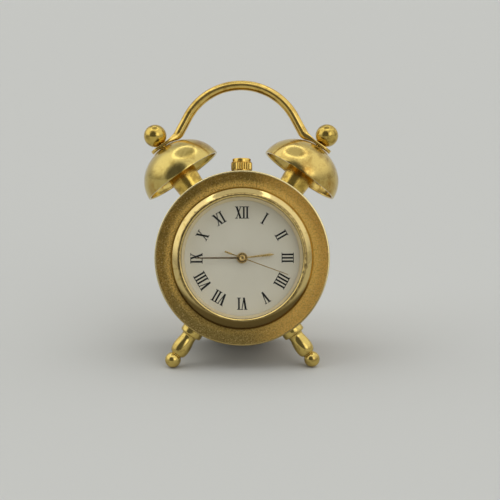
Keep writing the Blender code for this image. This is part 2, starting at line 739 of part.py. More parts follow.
def make_hands(frame, materials):
    for name, hub, length, width, bore, depth, angle in (
        (
            "hour_hand",
            HOUR_HAND_HUB,
            HOUR_HAND_LENGTH,
            HOUR_HAND_WIDTH,
            HOUR_PIPE_RADIUS,
            HOUR_HAND_DEPTH,
            HOUR_ANGLE,
        ),
        (
            "minute_hand",
            MINUTE_HAND_HUB,
            MINUTE_HAND_LENGTH,
            MINUTE_HAND_WIDTH,
            CANNON_PIPE_RADIUS,
            MINUTE_HAND_DEPTH,
            MINUTE_ANGLE,
        ),
    ):
        blade = lance(length, width)
        make_hand(name, hub, blade, (), bore + RUNNING_GAP, depth, angle, frame, materials)
    needle = [(SECOND_HAND_LENGTH, SECOND_HAND_WIDTH / 4)]
    needle.insert(0, (SECOND_HAND_HUB, SECOND_HAND_WIDTH / 2))
    tail = [
        (SECOND_HAND_TAIL * TAIL_NECK_SHARE, SECOND_HAND_WIDTH / 2),
        (SECOND_HAND_TAIL, SECOND_HAND_TAIL_WIDTH / 2),
    ]
    make_hand(
        "second_hand",
        SECOND_HAND_HUB,
        needle,
        tail,
        SECOND_ARBOR_RADIUS + RUNNING_GAP,
        SECOND_HAND_DEPTH,
        SECOND_ANGLE,
        frame,
        materials,
    )


def make_back_cover(frame, materials):
    edge = REBATE_RADIUS - SEAT_GAP
    skirt = DRUM_INNER_RADIUS - SEAT_GAP
    inside = COVER_BACK - COVER_THICKNESS
    profile = [
        (0, inside),
        (skirt - COVER_SKIRT_WALL, inside),
        (skirt - COVER_SKIRT_WALL, inside - COVER_SKIRT_LENGTH),
        (skirt, inside - COVER_SKIRT_LENGTH),
        (skirt, inside),
        (edge, inside),
        (edge, COVER_BACK - COVER_CHAMFER),
        (edge - COVER_CHAMFER, COVER_BACK),
        (0, COVER_BACK),
    ]
    cover = add_object("back_cover", turned(profile, CASE_STEPS), materials["satin"], frame, axial())
    notch_outline = rectangle(edge, 0, 2 * PRY_NOTCH_DEPTH, PRY_NOTCH_WIDTH)
    notch = stacked([(notch_outline, inside - SEAT_GAP, inside + PRY_NOTCH_HEIGHT)])
    combine(cover, add_helper("pry_notch", notch, frame, axial()))


def drum_cutter(name, frame):
    """The drum with its seat gap, to saddle what stands on it."""
    body = rod(DRUM_RADIUS + SEAT_GAP, FLANGE_THICKNESS, CASE_DEPTH, CASE_STEPS)
    return add_helper(name, body, frame, axial())


def make_posts(frame, materials, drum):
    spigot_end = DRUM_INNER_RADIUS + SEAT_GAP
    sag = math.sqrt(1 - (POST_NECK_RADIUS / (BELL_RADIUS - BELL_WALL)) ** 2)
    top = BELL_RIM_DISTANCE + (BELL_HEIGHT - BELL_WALL) * sag - 2 * SEAT_GAP
    stud_end = KNOB_SEAT_DISTANCE - KNOB_STUD_LENGTH
    outside = [
        (0, DRUM_RADIUS - DRUM_WALL / 4),
        (POST_FOOT_RADIUS, DRUM_RADIUS - DRUM_WALL / 4),
        (POST_FOOT_RADIUS, DRUM_RADIUS),
        (POST_HEAD_RADIUS, POST_SHOULDER_DISTANCE - POST_CHAMFER),
        (POST_HEAD_RADIUS - POST_CHAMFER, POST_SHOULDER_DISTANCE),
        (POST_NECK_RADIUS, POST_SHOULDER_DISTANCE),
        (POST_NECK_RADIUS, top),
        (KNOB_STUD_RADIUS + SEAT_GAP, top),
        (KNOB_STUD_RADIUS + SEAT_GAP, stud_end - SEAT_GAP),
        (0, stud_end - SEAT_GAP),
    ]
    for side, sign in (("left", -1), ("right", 1)):
        place = radial(sign * BELL_ANGLE, BELL_DEPTH)
        post = add_object("bell_post_" + side, turned(outside, BELL_STEPS), materials["satin"], frame, place)
        combine(post, drum)
        spigot = rod(SPIGOT_RADIUS, spigot_end, DRUM_RADIUS + POST_CHAMFER, SMALL_STEPS)
        combine(post, add_helper("post_spigot_" + side, spigot, frame, place), "UNION")


def bell_profile():
    """Cross-section of the shell, out over the dome from the stud hole, round the rim and back inside."""
    hole = KNOB_STUD_RADIUS + SEAT_GAP
    inner_radius = BELL_RADIUS - BELL_WALL
    inner_height = BELL_HEIGHT - BELL_WALL
    points = []
    for radius, height, steps, outwards in (
        (BELL_RADIUS, BELL_HEIGHT, 7, True),
        (inner_radius, inner_height, 5, False),
    ):
        start = math.acos(hole / radius)
        sweep = arc((0, BELL_RIM_DISTANCE), (radius, height), start, 0, steps)
        points += sweep if outwards else sweep[::-1]
    return points


def make_bells(frame, materials):
    for side, sign in (("left", -1), ("right", 1)):
        body = turned(bell_profile(), BELL_STEPS, closed=True)
        add_object("bell_" + side, body, materials["polished"], frame, radial(sign * BELL_ANGLE, BELL_DEPTH))


def make_knobs(frame, materials):
    centre = KNOB_SEAT_DISTANCE + math.sqrt(KNOB_RADIUS**2 - KNOB_SEAT_RADIUS**2)
    start = math.atan2(KNOB_SEAT_DISTANCE - centre, KNOB_SEAT_RADIUS)
    ball = arc((0, centre), (KNOB_RADIUS, KNOB_RADIUS), start, math.pi / 2, 7)
    stud_end = KNOB_SEAT_DISTANCE - KNOB_STUD_LENGTH
    profile = [
        (0, stud_end),
        (KNOB_STUD_RADIUS, stud_end),
        (KNOB_STUD_RADIUS, KNOB_SEAT_DISTANCE),
        *ball[:-1],
        (0, centre + KNOB_RADIUS),
    ]
    for side, sign in (("left", -1), ("right", 1)):
        place = radial(sign * BELL_ANGLE, BELL_DEPTH)
        add_object("knob_" + side, turned(profile, TURNED_STEPS), materials["polished"], frame, place)


def tab_section(share):
    """Half thickness, half width and power where the flat tab has grown by a share into round wire."""
    thin, wide = TAB_THICKNESS / 2, TAB_WIDTH / 2
    growth = share * share * (3 - 2 * share)
    return (
        thin + (WIRE_RADIUS - thin) * growth,
        wide + (WIRE_RADIUS - wide) * growth,
        TAB_POWER + (ROUND_POWER - TAB_POWER) * growth,
    )


def handle_half():
    """Stations of the right half: (x, z, direction, half thickness, half width, power), tab end first."""
    thin, wide = TAB_THICKNESS / 2, TAB_WIDTH / 2
    tab_way = (-math.cos(BELL_ANGLE), math.sin(BELL_ANGLE))
    tab_centre = (TAB_DISTANCE * math.sin(BELL_ANGLE), TAB_DISTANCE * math.cos(BELL_ANGLE))
    leg_way = (-math.cos(ARCH_SWEEP), math.sin(ARCH_SWEEP))
    arch_end = (
        ARCH_RADIUS * math.sin(ARCH_SWEEP),
        ARCH_CENTRE_HEIGHT + ARCH_RADIUS * math.cos(ARCH_SWEEP),
    )
    # Where the tab's line meets the leg's line
    spread = (arch_end[0] - tab_centre[0], arch_end[1] - tab_centre[1])
    cross = tab_way[0] * leg_way[1] - tab_way[1] * leg_way[0]
    reach = (spread[0] * leg_way[1] - spread[1] * leg_way[0]) / cross
    corner = (tab_centre[0] + reach * tab_way[0], tab_centre[1] + reach * tab_way[1])
    tab_angle = math.atan2(tab_way[1], tab_way[0])
    leg_angle = math.atan2(leg_way[1], leg_way[0])
    bend = tab_angle - leg_angle
    tangent = TAB_BEND_RADIUS * math.tan(bend / 2)
    stations = []
    for share in TAB_END_SHARES:
        back = TAB_OVERHANG - wide * (1 - math.cos(share * math.pi / 2))
        width = wide * max(math.sin(share * math.pi / 2), thin / wide)
        point = (tab_centre[0] - back * tab_way[0], tab_centre[1] - back * tab_way[1])
        stations.append((*point, tab_angle, thin, width, TAB_POWER))
    back = TAB_OVERHANG - wide
    point = (tab_centre[0] - back * tab_way[0], tab_centre[1] - back * tab_way[1])
    stations.append((*point, tab_angle, *tab_section(0)))
    # Past its flat seat the tab grows into round wire, up to the end of the bend
    straight = reach - tangent - TAB_FLAT
    growing = straight + TAB_BEND_RADIUS * bend
    for step in range(TAPER_STEPS):
        travel = straight * step / TAPER_STEPS
        along = TAB_FLAT + travel
        point = (tab_centre[0] + along * tab_way[0], tab_centre[1] + along * tab_way[1])
        stations.append((*point, tab_angle, *tab_section(travel / growing)))
    # The bend turns clockwise from the tab to the leg
    start = (corner[0] - tangent * tab_way[0], corner[1] - tangent * tab_way[1])
    centre = (
        start[0] + TAB_BEND_RADIUS * math.cos(tab_angle - math.pi / 2),
        start[1] + TAB_BEND_RADIUS * math.sin(tab_angle - math.pi / 2),
    )
    for step in range(ARC_STEPS + 1):
        share = step / ARC_STEPS
        angle = tab_angle - bend * share
        travel = straight + TAB_BEND_RADIUS * bend * share
        stations.append(
            (
                centre[0] + TAB_BEND_RADIUS * math.cos(angle + math.pi / 2),
                centre[1] + TAB_BEND_RADIUS * math.sin(angle + math.pi / 2),
                angle,
                *tab_section(travel / growing),
            )
        )
    for step in range(ARCH_STEPS + 1):
        angle = ARCH_SWEEP * (1 - step / ARCH_STEPS)
        stations.append(
            (
                ARCH_RADIUS * math.sin(angle),
                ARCH_CENTRE_HEIGHT + ARCH_RADIUS * math.cos(angle),
                math.pi - angle,
                *tab_section(1),
            )
        )
    return stations


def handle_section(bm, station):
    x, z, angle, half_thickness, half_width, power = station
    ring = []
    for side in range(WIRE_SIDES):
        turn = math.tau * (side + 0.5) / WIRE_SIDES
        across, along = math.cos(turn), math.sin(turn)
        off = math.copysign(abs(across) ** (2 / power), across) * half_thickness
        depth = math.copysign(abs(along) ** (2 / power), along) * half_width
        ring.append(bm.verts.new((x - off * math.sin(angle), depth, z + off * math.cos(angle))))
    return ring


def make_handle(frame, materials):
    right = handle_half()
    left = [
        (-x, z, math.pi - angle + math.pi, thin, wide, power)
        for x, z, angle, thin, wide, power in right[-2::-1]
    ]
    bm = bmesh.new()
    rings = [handle_section(bm, station) for station in right]
    # Past the apex the section keeps the same sense, so each ring starts on the outer side
    rings += [handle_section(bm, station) for station in left]
    for low, high in zip(rings, rings[1:]):
        wall_between(bm, low, high)
    bm.faces.new(rings[0])
    bm.faces.new(rings[-1])
    place = Matrix.Translation((0, BELL_DEPTH, 0))
    handle = add_object("handle", bm, materials["polished"], frame, place)
    holes = []
    for sign in (-1, 1):
        hole = rod(
            KNOB_STUD_RADIUS + SEAT_GAP,
            TAB_DISTANCE - TAB_THICKNESS,
            TAB_DISTANCE + TAB_THICKNESS,
            SMALL_STEPS,
        )
        holes.append(moved(hole, radial(sign * BELL_ANGLE, BELL_DEPTH)))
    combine(handle, add_helper("tab_holes", joined(holes), frame, Matrix.Identity(4)))


def foot_profile():
    collar_top = DRUM_RADIUS + FOOT_COLLAR_LENGTH
    round_off = arc(
        (FOOT_COLLAR_RADIUS - FOOT_COLLAR_ROUND, collar_top - FOOT_COLLAR_ROUND),
        (FOOT_COLLAR_ROUND, FOOT_COLLAR_ROUND),
        0,
        math.pi / 2,
        2,
    )
    swell_length = FOOT_BELLY_DISTANCE - FOOT_GROOVE_DISTANCE - FOOT_GROOVE_WIDTH
    swell = arc(
        (FOOT_GROOVE_RADIUS, FOOT_BELLY_DISTANCE),
        (FOOT_BELLY_RADIUS - FOOT_GROOVE_RADIUS, swell_length),
        -math.pi / 2,
        0,
        2,
    )
    taper = arc(
        (FOOT_NECK_RADIUS, FOOT_BELLY_DISTANCE),
        (FOOT_BELLY_RADIUS - FOOT_NECK_RADIUS, FOOT_NECK_DISTANCE - FOOT_BELLY_DISTANCE),
        0,
        math.pi / 2,
        3,
    )
    neck_turn = math.asin(FOOT_NECK_RADIUS / FOOT_BALL_RADIUS) - math.pi / 2
    ball = arc((0, FOOT_BALL_DISTANCE), (FOOT_BALL_RADIUS, FOOT_BALL_RADIUS), neck_turn, math.pi / 2, 5)
    return [
        (0, DRUM_RADIUS - DRUM_WALL / 4),
        (FOOT_COLLAR_RADIUS, DRUM_RADIUS - DRUM_WALL / 4),
        *round_off,
        (FOOT_GROOVE_RADIUS, FOOT_GROOVE_DISTANCE - FOOT_GROOVE_WIDTH / 2),
        *swell,
        *taper[1:],
        *ball[:-1],
        (0, FOOT_BALL_DISTANCE + FOOT_BALL_RADIUS),
    ]


def make_feet(frame, materials, drum):
    for side, sign in (("left", -1), ("right", 1)):
        place = radial(sign * FOOT_ANGLE, FOOT_DEPTH)
        body = turned(foot_profile(), TURNED_STEPS)
        foot = add_object("foot_" + side, body, materials["polished"], frame, place)
        combine(foot, drum)
        stud = rod(
            FOOT_STUD_RADIUS,
            DRUM_INNER_RADIUS + SEAT_GAP,
            DRUM_RADIUS + FOOT_COLLAR_ROUND,
            SMALL_STEPS,
        )
        combine(foot, add_helper("foot_stud_" + side, stud, frame, place), "UNION")


def fluted(radius, steps):
    """Crown outline: each flute is a flat crest and one root point."""
    outline = []
    for flute in range(steps):
        for share, drop in ((0.0, 0), (0.5, 0), (0.75, CROWN_FLUTE_DEPTH)):
            angle = math.tau * (flute + share) / steps
            outline.append(((radius - drop) * math.cos(angle), (radius - drop) * math.sin(angle)))
    return outline


def make_crown(frame, materials):
    skirt_top = CROWN_BASE + CROWN_SKIRT_HEIGHT
    full = fluted(CROWN_RADIUS, CROWN_FLUTES)
    eased = fluted(CROWN_RADIUS - CROWN_CHAMFER, CROWN_FLUTES)
    disc = circle(CROWN_TOP_RADIUS, BELL_STEPS)
    disc_edge = circle(CROWN_TOP_RADIUS - CROWN_CHAMFER, BELL_STEPS)
    layers = [
        (eased, full, CROWN_BASE, CROWN_BASE + CROWN_CHAMFER),
        (full, CROWN_BASE + CROWN_CHAMFER, skirt_top - CROWN_CHAMFER),
        (full, eased, skirt_top - CROWN_CHAMFER, skirt_top),
        (disc, skirt_top, skirt_top + CROWN_TOP_HEIGHT - CROWN_CHAMFER),
        (disc, disc_edge, skirt_top + CROWN_TOP_HEIGHT - CROWN_CHAMFER, skirt_top + CROWN_TOP_HEIGHT),
    ]
    bore = circle(STEM_RADIUS + SEAT_GAP, SMALL_STEPS)
    body = stacked(layers, bore=bore, bore_top=CROWN_BASE + CROWN_BORE_DEPTH)
    add_object("crown", body, materials["polished"], frame, radial(0, STEM_DEPTH))


def make_stem(frame, materials):
    groove_top = STEM_GROOVE_DISTANCE + STEM_GROOVE_WIDTH
    shank = circle(STEM_RADIUS, SMALL_STEPS)
    layers = [
        (circle(STEM_PILOT_RADIUS, SMALL_STEPS), WINDOW_LOW - STEM_PILOT_LENGTH, WINDOW_LOW + SEAT_GAP),
        (square(STEM_SQUARE), WINDOW_LOW + SEAT_GAP, WINDOW_HIGH),
        (shank, WINDOW_HIGH, STEM_GROOVE_DISTANCE),
        (circle(STEM_GROOVE_RADIUS, SMALL_STEPS), STEM_GROOVE_DISTANCE, groove_top),
        (shank, groove_top, CROWN_BASE + CROWN_BORE_DEPTH - SEAT_GAP),
    ]
    add_object("stem", stacked(layers), materials["steel"], frame, radial(0, STEM_DEPTH))


def make_clutch_pinion(frame, materials):
    low = WINDOW_LOW + SEAT_GAP
    waist_low, waist_high = (low + CLUTCH_PINION_LENGTH * share for share in CLUTCH_PINION_LAND_SHARES)
    module = CLUTCH_PINION_RADIUS / (CLUTCH_PINION_LEAVES / 2 + WHEEL_ADDENDUM_SHARE)
    leaves = pinion_outline(CLUTCH_PINION_LEAVES, module, 0)
    waist = circle(CLUTCH_PINION_WAIST, SMALL_STEPS)
    layers = [
        (leaves, low, waist_low),
        (waist, waist_low, waist_high),
        (leaves, waist_high, low + CLUTCH_PINION_LENGTH),
    ]
    body = stacked(layers, bore=square(STEM_SQUARE + 2 * RUNNING_GAP))
    add_object("clutch_pinion", body, materials["steel"], frame, radial(0, STEM_DEPTH))


def lever_circles():
    """Boss and nose of the setting lever about its pivot, in plan, with the stem pushed in."""
    nose = (-LEVER_ARM * math.cos(LEVER_HALF_SWING), LEVER_ARM * math.sin(LEVER_HALF_SWING))
    return [(0, 0, LEVER_BOSS_RADIUS), (*nose, LEVER_NOSE_RADIUS)]


def lever_place():
    return LEVER_ARM * math.cos(LEVER_HALF_SWING), -LEVER_PIVOT_HEIGHT


def make_setting_lever(frame, materials):
    boss, nose = lever_circles()
    plate = stacked(
        [(hull([boss, nose], SMALL_STEPS), LEVER_FRONT, LEVER_FRONT + LEVER_THICKNESS)],
        bore=circle(MOTION_POST_RADIUS + RUNNING_GAP, PIVOT_STEPS),
    )
    lever = add_object("setting_lever", plate, materials["steel"], frame, axial(lever_place()))
    peg = rod(
        LEVER_PEG_RADIUS,
        LEVER_FRONT - LEVER_PEG_LENGTH,
        LEVER_FRONT + LEVER_THICKNESS / 2,
        PIVOT_STEPS,
        nose[:2],
    )
    combine(lever, add_helper("lever_peg", peg, frame, axial(lever_place())), "UNION")


def make_holder(frame, materials):
    outer = DRUM_INNER_RADIUS - SEAT_GAP
    inner = PLATE_RADIUS + SEAT_GAP
    web_back = PLATE_FRONT + HOLDER_THICKNESS
    end = COVER_BACK - COVER_THICKNESS - COVER_SKIRT_LENGTH - SEAT_GAP
    profile = [
        (inner, PLATE_FRONT),
        (outer, PLATE_FRONT),
        (outer, end),
        (outer - HOLDER_SLEEVE_WALL, end),
        (outer - HOLDER_SLEEVE_WALL, web_back),
        (inner, web_back),
    ]
    body = turned(profile, CASE_STEPS, closed=True)
    holder = add_object("movement_holder", body, materials["plastic"], frame, axial())
    hole = rod(STEM_RADIUS + SEAT_GAP, PLATE_RADIUS - OVERRUN, DRUM_INNER_RADIUS + OVERRUN, SMALL_STEPS)
    combine(holder, add_helper("holder_stem_hole", hole, frame, radial(0, STEM_DEPTH)))


def make_main_plate(frame, materials):
    bore = circle(CENTRE_TUBE_RADIUS + SEAT_GAP, SMALL_STEPS)
    layers = [(circle(PLATE_RADIUS, CASE_STEPS), PLATE_FRONT, PLATE_BACK)]
    plate = add_object("main_plate", stacked(layers, bore=bore), materials["plastic"], frame, axial())
    before = PLATE_FRONT - OVERRUN
    hour_tip = HOUR_MODULE * (HOUR_WHEEL_TEETH / 2 + WHEEL_ADDENDUM_SHARE)
    minute_tip = MOTION_MODULE * (MINUTE_WHEEL_TEETH / 2 + WHEEL_ADDENDUM_SHARE)
    recesses = (
        ("hour_recess", hour_tip + SEAT_GAP, (0, 0)),
        ("minute_recess", minute_tip + SEAT_GAP, MINUTE_WHEEL_PLACE),
        ("setting_recess", SETTING_RECESS_RADIUS, SETTING_WHEEL_PLACE),
    )
    for name, radius, place in recesses:
        cutter = rod(radius, before, RECESS_FLOOR, BELL_STEPS, place)
        combine(plate, add_helper(name, cutter, frame, axial()))
    window = rectangle(
        0, -(WINDOW_LOW + WINDOW_HIGH) / 2, 2 * (CLUTCH_PINION_RADIUS + SEAT_GAP), WINDOW_HIGH - WINDOW_LOW
    )
    swept = []
    for turn in (0, 2 * LEVER_HALF_SWING):
        for x, y, radius in lever_circles():
            swept.append(
                (
                    lever_place()[0] + x * math.cos(turn) - y * math.sin(turn),
                    lever_place()[1] + x * math.sin(turn) + y * math.cos(turn),
                    radius + SEAT_GAP,
                )
            )
    peg_room = 2 * (LEVER_PEG_RADIUS + SEAT_GAP)
    peg_slot = rectangle(0, -LEVER_PIVOT_HEIGHT, peg_room, CROWN_PULL + peg_room)
    pivot_floor = PLATE_BACK - PIVOT_DEPTH - SEAT_GAP
    pivot_holes = [
        rod(ARBOR_RADIUS + RUNNING_GAP, pivot_floor, PLATE_BACK + OVERRUN, PIVOT_STEPS, place)
        for place in (THIRD_PLACE, INTERMEDIATE_PLACE, ROTOR_PLACE)
    ]
    screw_floor = PLATE_BACK - SCREW_IN_PLATE - SEAT_GAP
    screw_holes = [
        rod(SCREW_RADIUS + RUNNING_GAP, screw_floor, PLATE_BACK + OVERRUN, PIVOT_STEPS, place)
        for place in PILLAR_PLACES
    ]
    cuts = {
        "pinion_window": stacked([(window, before, PLATE_BACK + OVERRUN)]),
        "lever_pocket": stacked(
            [(hull(swept, SMALL_STEPS), LEVER_FRONT - SEAT_GAP, PLATE_BACK + OVERRUN)]
        ),
        "peg_slot": stacked([(peg_slot, STEM_DEPTH, PLATE_BACK + OVERRUN)]),
        "plate_holes": joined(pivot_holes + screw_holes),
    }
    for name, body in cuts.items():
        combine(plate, add_helper(name, body, frame, axial()))
    stem_hole = rod(
        STEM_RADIUS + RUNNING_GAP, WINDOW_HIGH - SEAT_GAP, PLATE_RADIUS + OVERRUN, SMALL_STEPS
    )
    pilot_end = WINDOW_LOW - KEYLESS_WALL - SEAT_GAP
    pilot_hole = rod(STEM_PILOT_RADIUS + RUNNING_GAP, pilot_end, WINDOW_LOW + SEAT_GAP, PIVOT_STEPS)
    stem_holes = joined([stem_hole, pilot_hole])
    combine(plate, add_helper("plate_stem_holes", stem_holes, frame, radial(0, STEM_DEPTH)))
    posts = [
        rod(MOTION_POST_RADIUS, HOUR_LEVEL, RECESS_FLOOR + EDGE_BREAK, PIVOT_STEPS, place)
        for place in (MINUTE_WHEEL_PLACE, SETTING_WHEEL_PLACE)
    ]
    pivot = rod(
        MOTION_POST_RADIUS,
        LEVER_FRONT - LEVER_PEG_LENGTH,
        LEVER_FRONT + LEVER_THICKNESS,
        PIVOT_STEPS,
        lever_place(),
    )
    combine(plate, add_helper("plate_posts", joined(posts + [pivot]), frame, axial()), "UNION")


def make_train_bridge(frame, materials):
    pivots = [THIRD_PLACE, INTERMEDIATE_PLACE, ROTOR_PLACE]
    lobes = [(*place, BRIDGE_LOBE_RADIUS) for place in PILLAR_PLACES + pivots]
    body = stacked([(hull(lobes, SMALL_STEPS), BRIDGE_FRONT, BRIDGE_BACK)])
    bridge = add_object("train_bridge", body, materials["steel"], frame, axial())
    pillars = [
        rod(PILLAR_RADIUS, PLATE_BACK + SEAT_GAP, BRIDGE_FRONT + BRIDGE_THICKNESS / 2, SMALL_STEPS, place)
        for place in PILLAR_PLACES
    ]
    combine(bridge, add_helper("bridge_pillars", joined(pillars), frame, axial()), "UNION")
    holes = [
        rod(SCREW_RADIUS + RUNNING_GAP, PLATE_BACK - OVERRUN, BRIDGE_BACK + OVERRUN, PIVOT_STEPS, place)
        for place in PILLAR_PLACES
    ]
    holes += [
        rod(ARBOR_RADIUS + RUNNING_GAP, BRIDGE_FRONT - OVERRUN, BRIDGE_BACK + OVERRUN, PIVOT_STEPS, place)
        for place in [(0, 0)] + pivots
    ]
    combine(bridge, add_helper("bridge_holes", joined(holes), frame, axial()))


def make_screws(frame, materials):
    clip_screw = 1
    for number, place in enumerate(PILLAR_PLACES):
        seat = BRIDGE_BACK + SEAT_GAP
        if number == clip_screw:
            seat += CLIP_THICKNESS + SEAT_GAP
        layers = [
            (circle(SCREW_RADIUS, PIVOT_STEPS), PLATE_BACK - SCREW_IN_PLATE, seat),
            (circle(SCREW_HEAD_RADIUS, SMALL_STEPS), seat, seat + SCREW_HEAD_HEIGHT),
        ]
        name = "bridge_screw_%d" % (number + 1)
        add_object(name, stacked(layers), materials["steel"], frame, axial(place))


def make_motion_work(frame, materials):
    """Cannon pinion, minute wheel with its pinion, hour wheel and setting wheel, all in mesh."""
    towards_minute = direction((0, 0), MINUTE_WHEEL_PLACE)
    leaf_end = MINUTE_LEVEL + LEAF_LENGTH
    pipe_end = MINUTE_HAND_DEPTH - HAND_THICKNESS - PIPE_STAND
    cannon = [
        (circle(CANNON_PIPE_RADIUS, SMALL_STEPS), pipe_end, MINUTE_LEVEL),
        (pinion_outline(CANNON_TEETH, MOTION_MODULE, towards_minute), MINUTE_LEVEL, leaf_end),
    ]
    body = stacked(cannon, bore=circle(CANNON_BORE, SMALL_STEPS))
    add_object("cannon_pinion", body, materials["steel"], frame, axial())

    minute_phase = meshing_phase(towards_minute, CANNON_TEETH, towards_minute, MINUTE_WHEEL_TEETH)
    post_bore = circle(MOTION_POST_RADIUS + RUNNING_GAP, PIVOT_STEPS)
    pinion = pinion_outline(MINUTE_PINION_TEETH, HOUR_MODULE, towards_minute + math.pi)
    minute_wheel = [
        (pinion, HOUR_LEVEL, MINUTE_LEVEL + TRAIN_LEVEL),
        (
            wheel_outline(MINUTE_WHEEL_TEETH, MOTION_MODULE, minute_phase),
            MINUTE_LEVEL + TRAIN_LEVEL,
            MINUTE_LEVEL + TRAIN_LEVEL + WHEEL_THICKNESS,
        ),
    ]
    body = stacked(minute_wheel, bore=post_bore)
    add_object("minute_wheel", body, materials["gear"], frame, axial(MINUTE_WHEEL_PLACE))

    hour_phase = meshing_phase(
        towards_minute + math.pi, MINUTE_PINION_TEETH, towards_minute + math.pi, HOUR_WHEEL_TEETH
    )
    hour_wheel = [
        (circle(HOUR_PIPE_RADIUS, SMALL_STEPS), HOUR_HAND_DEPTH - HAND_THICKNESS - PIPE_STAND, HOUR_LEVEL),
        (
            wheel_outline(HOUR_WHEEL_TEETH, HOUR_MODULE, hour_phase),
            HOUR_LEVEL,
            HOUR_LEVEL + WHEEL_THICKNESS,
        ),
    ]
    body = stacked(hour_wheel, bore=circle(HOUR_PIPE_BORE, SMALL_STEPS))
    add_object("hour_wheel", body, materials["gear"], frame, axial())

    towards_setting = direction(MINUTE_WHEEL_PLACE, SETTING_WHEEL_PLACE)
    setting_phase = meshing_phase(
        towards_setting, MINUTE_WHEEL_TEETH, minute_phase, SETTING_WHEEL_TEETH
    )
    setting_wheel = [
        (
            wheel_outline(SETTING_WHEEL_TEETH, MOTION_MODULE, setting_phase),
            MINUTE_LEVEL,
            MINUTE_LEVEL + LEAF_LENGTH,
        )
    ]
    body = stacked(setting_wheel, bore=post_bore)
    add_object("setting_wheel", body, materials["steel"], frame, axial(SETTING_WHEEL_PLACE))


def arbor_layers(wheel, wheel_low, pinion, pinion_low):
    """Layers of a wheel and its pinion on one arbor, pivoted in the plate and the bridge."""
    arbor = circle(ARBOR_RADIUS, PIVOT_STEPS)
    low, high = PLATE_BACK - PIVOT_DEPTH, BRIDGE_BACK
    solids = [(wheel_low, WHEEL_THICKNESS, wheel), (pinion_low, LEAF_LENGTH, pinion)]
    solids.sort(key=lambda solid: solid[0])
    layers = []
    for start, length, outline in solids:
        if start > low:
            layers.append((arbor, low, start))
        layers.append((outline, start, start + length))
        low = start + length
    return layers + [(arbor, low, high)]


def make_going_train(frame, materials):
    """Rotor, intermediate, second, third and centre wheels, all in mesh."""
    inset = (LEAF_LENGTH - WHEEL_THICKNESS) / 2

    towards_centre = direction(THIRD_PLACE, (0, 0))
    centre_phase = meshing_phase(towards_centre, THIRD_PINION_TEETH, towards_centre, CENTRE_WHEEL_TEETH)
    centre_wheel = [
        (
            circle(CENTRE_TUBE_RADIUS, SMALL_STEPS),
            MINUTE_HAND_DEPTH,
            CENTRE_LEVEL,
        ),
        (
            wheel_outline(CENTRE_WHEEL_TEETH, CENTRE_MODULE, centre_phase),
            CENTRE_LEVEL,
            CENTRE_LEVEL + WHEEL_THICKNESS,
        ),
    ]
    body = stacked(centre_wheel, bore=circle(CENTRE_TUBE_BORE, SMALL_STEPS))
    add_object("centre_wheel", body, materials["gear"], frame, axial())

    towards_third = direction((0, 0), THIRD_PLACE)
    third_phase = meshing_phase(towards_third, SECOND_PINION_TEETH, towards_third, THIRD_WHEEL_TEETH)
    third = arbor_layers(
        wheel_outline(THIRD_WHEEL_TEETH, SECOND_THIRD_MODULE, third_phase),
        THIRD_LEVEL,
        pinion_outline(THIRD_PINION_TEETH, CENTRE_MODULE, towards_centre),
        CENTRE_LEVEL - inset / 2,
    )
    add_object("third_wheel", stacked(third), materials["gear"], frame, axial(THIRD_PLACE))

    towards_second = direction(INTERMEDIATE_PLACE, (0, 0))
    second_phase = meshing_phase(
        towards_second, INTERMEDIATE_PINION_TEETH, towards_second, SECOND_WHEEL_TEETH
    )
    arbor_front = SECOND_HAND_DEPTH - HAND_THICKNESS - PIPE_STAND
    second = [
        (circle(SECOND_ARBOR_RADIUS, PIVOT_STEPS), arbor_front, THIRD_LEVEL - inset),
        (
            pinion_outline(SECOND_PINION_TEETH, SECOND_THIRD_MODULE, towards_third),
            THIRD_LEVEL - inset,
            THIRD_LEVEL - inset + LEAF_LENGTH,
        ),
        (circle(SECOND_ARBOR_RADIUS, PIVOT_STEPS), THIRD_LEVEL - inset + LEAF_LENGTH, SECOND_LEVEL),
        (
            wheel_outline(SECOND_WHEEL_TEETH, SECOND_MODULE, second_phase),
            SECOND_LEVEL,
            SECOND_LEVEL + WHEEL_THICKNESS,
        ),
        (circle(ARBOR_RADIUS, PIVOT_STEPS), SECOND_LEVEL + WHEEL_THICKNESS, BRIDGE_BACK),
    ]
    add_object("second_wheel", stacked(second), materials["gear"], frame, axial())

    towards_intermediate = direction(ROTOR_PLACE, INTERMEDIATE_PLACE)
    intermediate_phase = meshing_phase(
        towards_intermediate, ROTOR_PINION_TEETH, towards_intermediate, INTERMEDIATE_WHEEL_TEETH
    )
    intermediate = arbor_layers(
        wheel_outline(INTERMEDIATE_WHEEL_TEETH, ROTOR_MODULE, intermediate_phase),
        INTERMEDIATE_LEVEL,
        pinion_outline(INTERMEDIATE_PINION_TEETH, SECOND_MODULE, towards_second),
        SECOND_LEVEL - inset,
    )
    place = axial(INTERMEDIATE_PLACE)
    add_object("intermediate_wheel", stacked(intermediate), materials["gear"], frame, place)

    magnet_low = PLATE_BACK + TRAIN_LEVEL
    arbor = circle(ARBOR_RADIUS, PIVOT_STEPS)
    rotor = [
        (arbor, PLATE_BACK - PIVOT_DEPTH, magnet_low),
        (circle(MAGNET_RADIUS, TURNED_STEPS), magnet_low, magnet_low + MAGNET_THICKNESS),
        (arbor, magnet_low + MAGNET_THICKNESS, INTERMEDIATE_LEVEL - inset),
        (
            pinion_outline(ROTOR_PINION_TEETH, ROTOR_MODULE, towards_intermediate),
            INTERMEDIATE_LEVEL - inset,
            INTERMEDIATE_LEVEL - inset + LEAF_LENGTH,
        ),
        (arbor, INTERMEDIATE_LEVEL - inset + LEAF_LENGTH, BRIDGE_BACK),
    ]
    add_object("rotor", stacked(rotor), materials["steel"], frame, axial(ROTOR_PLACE))


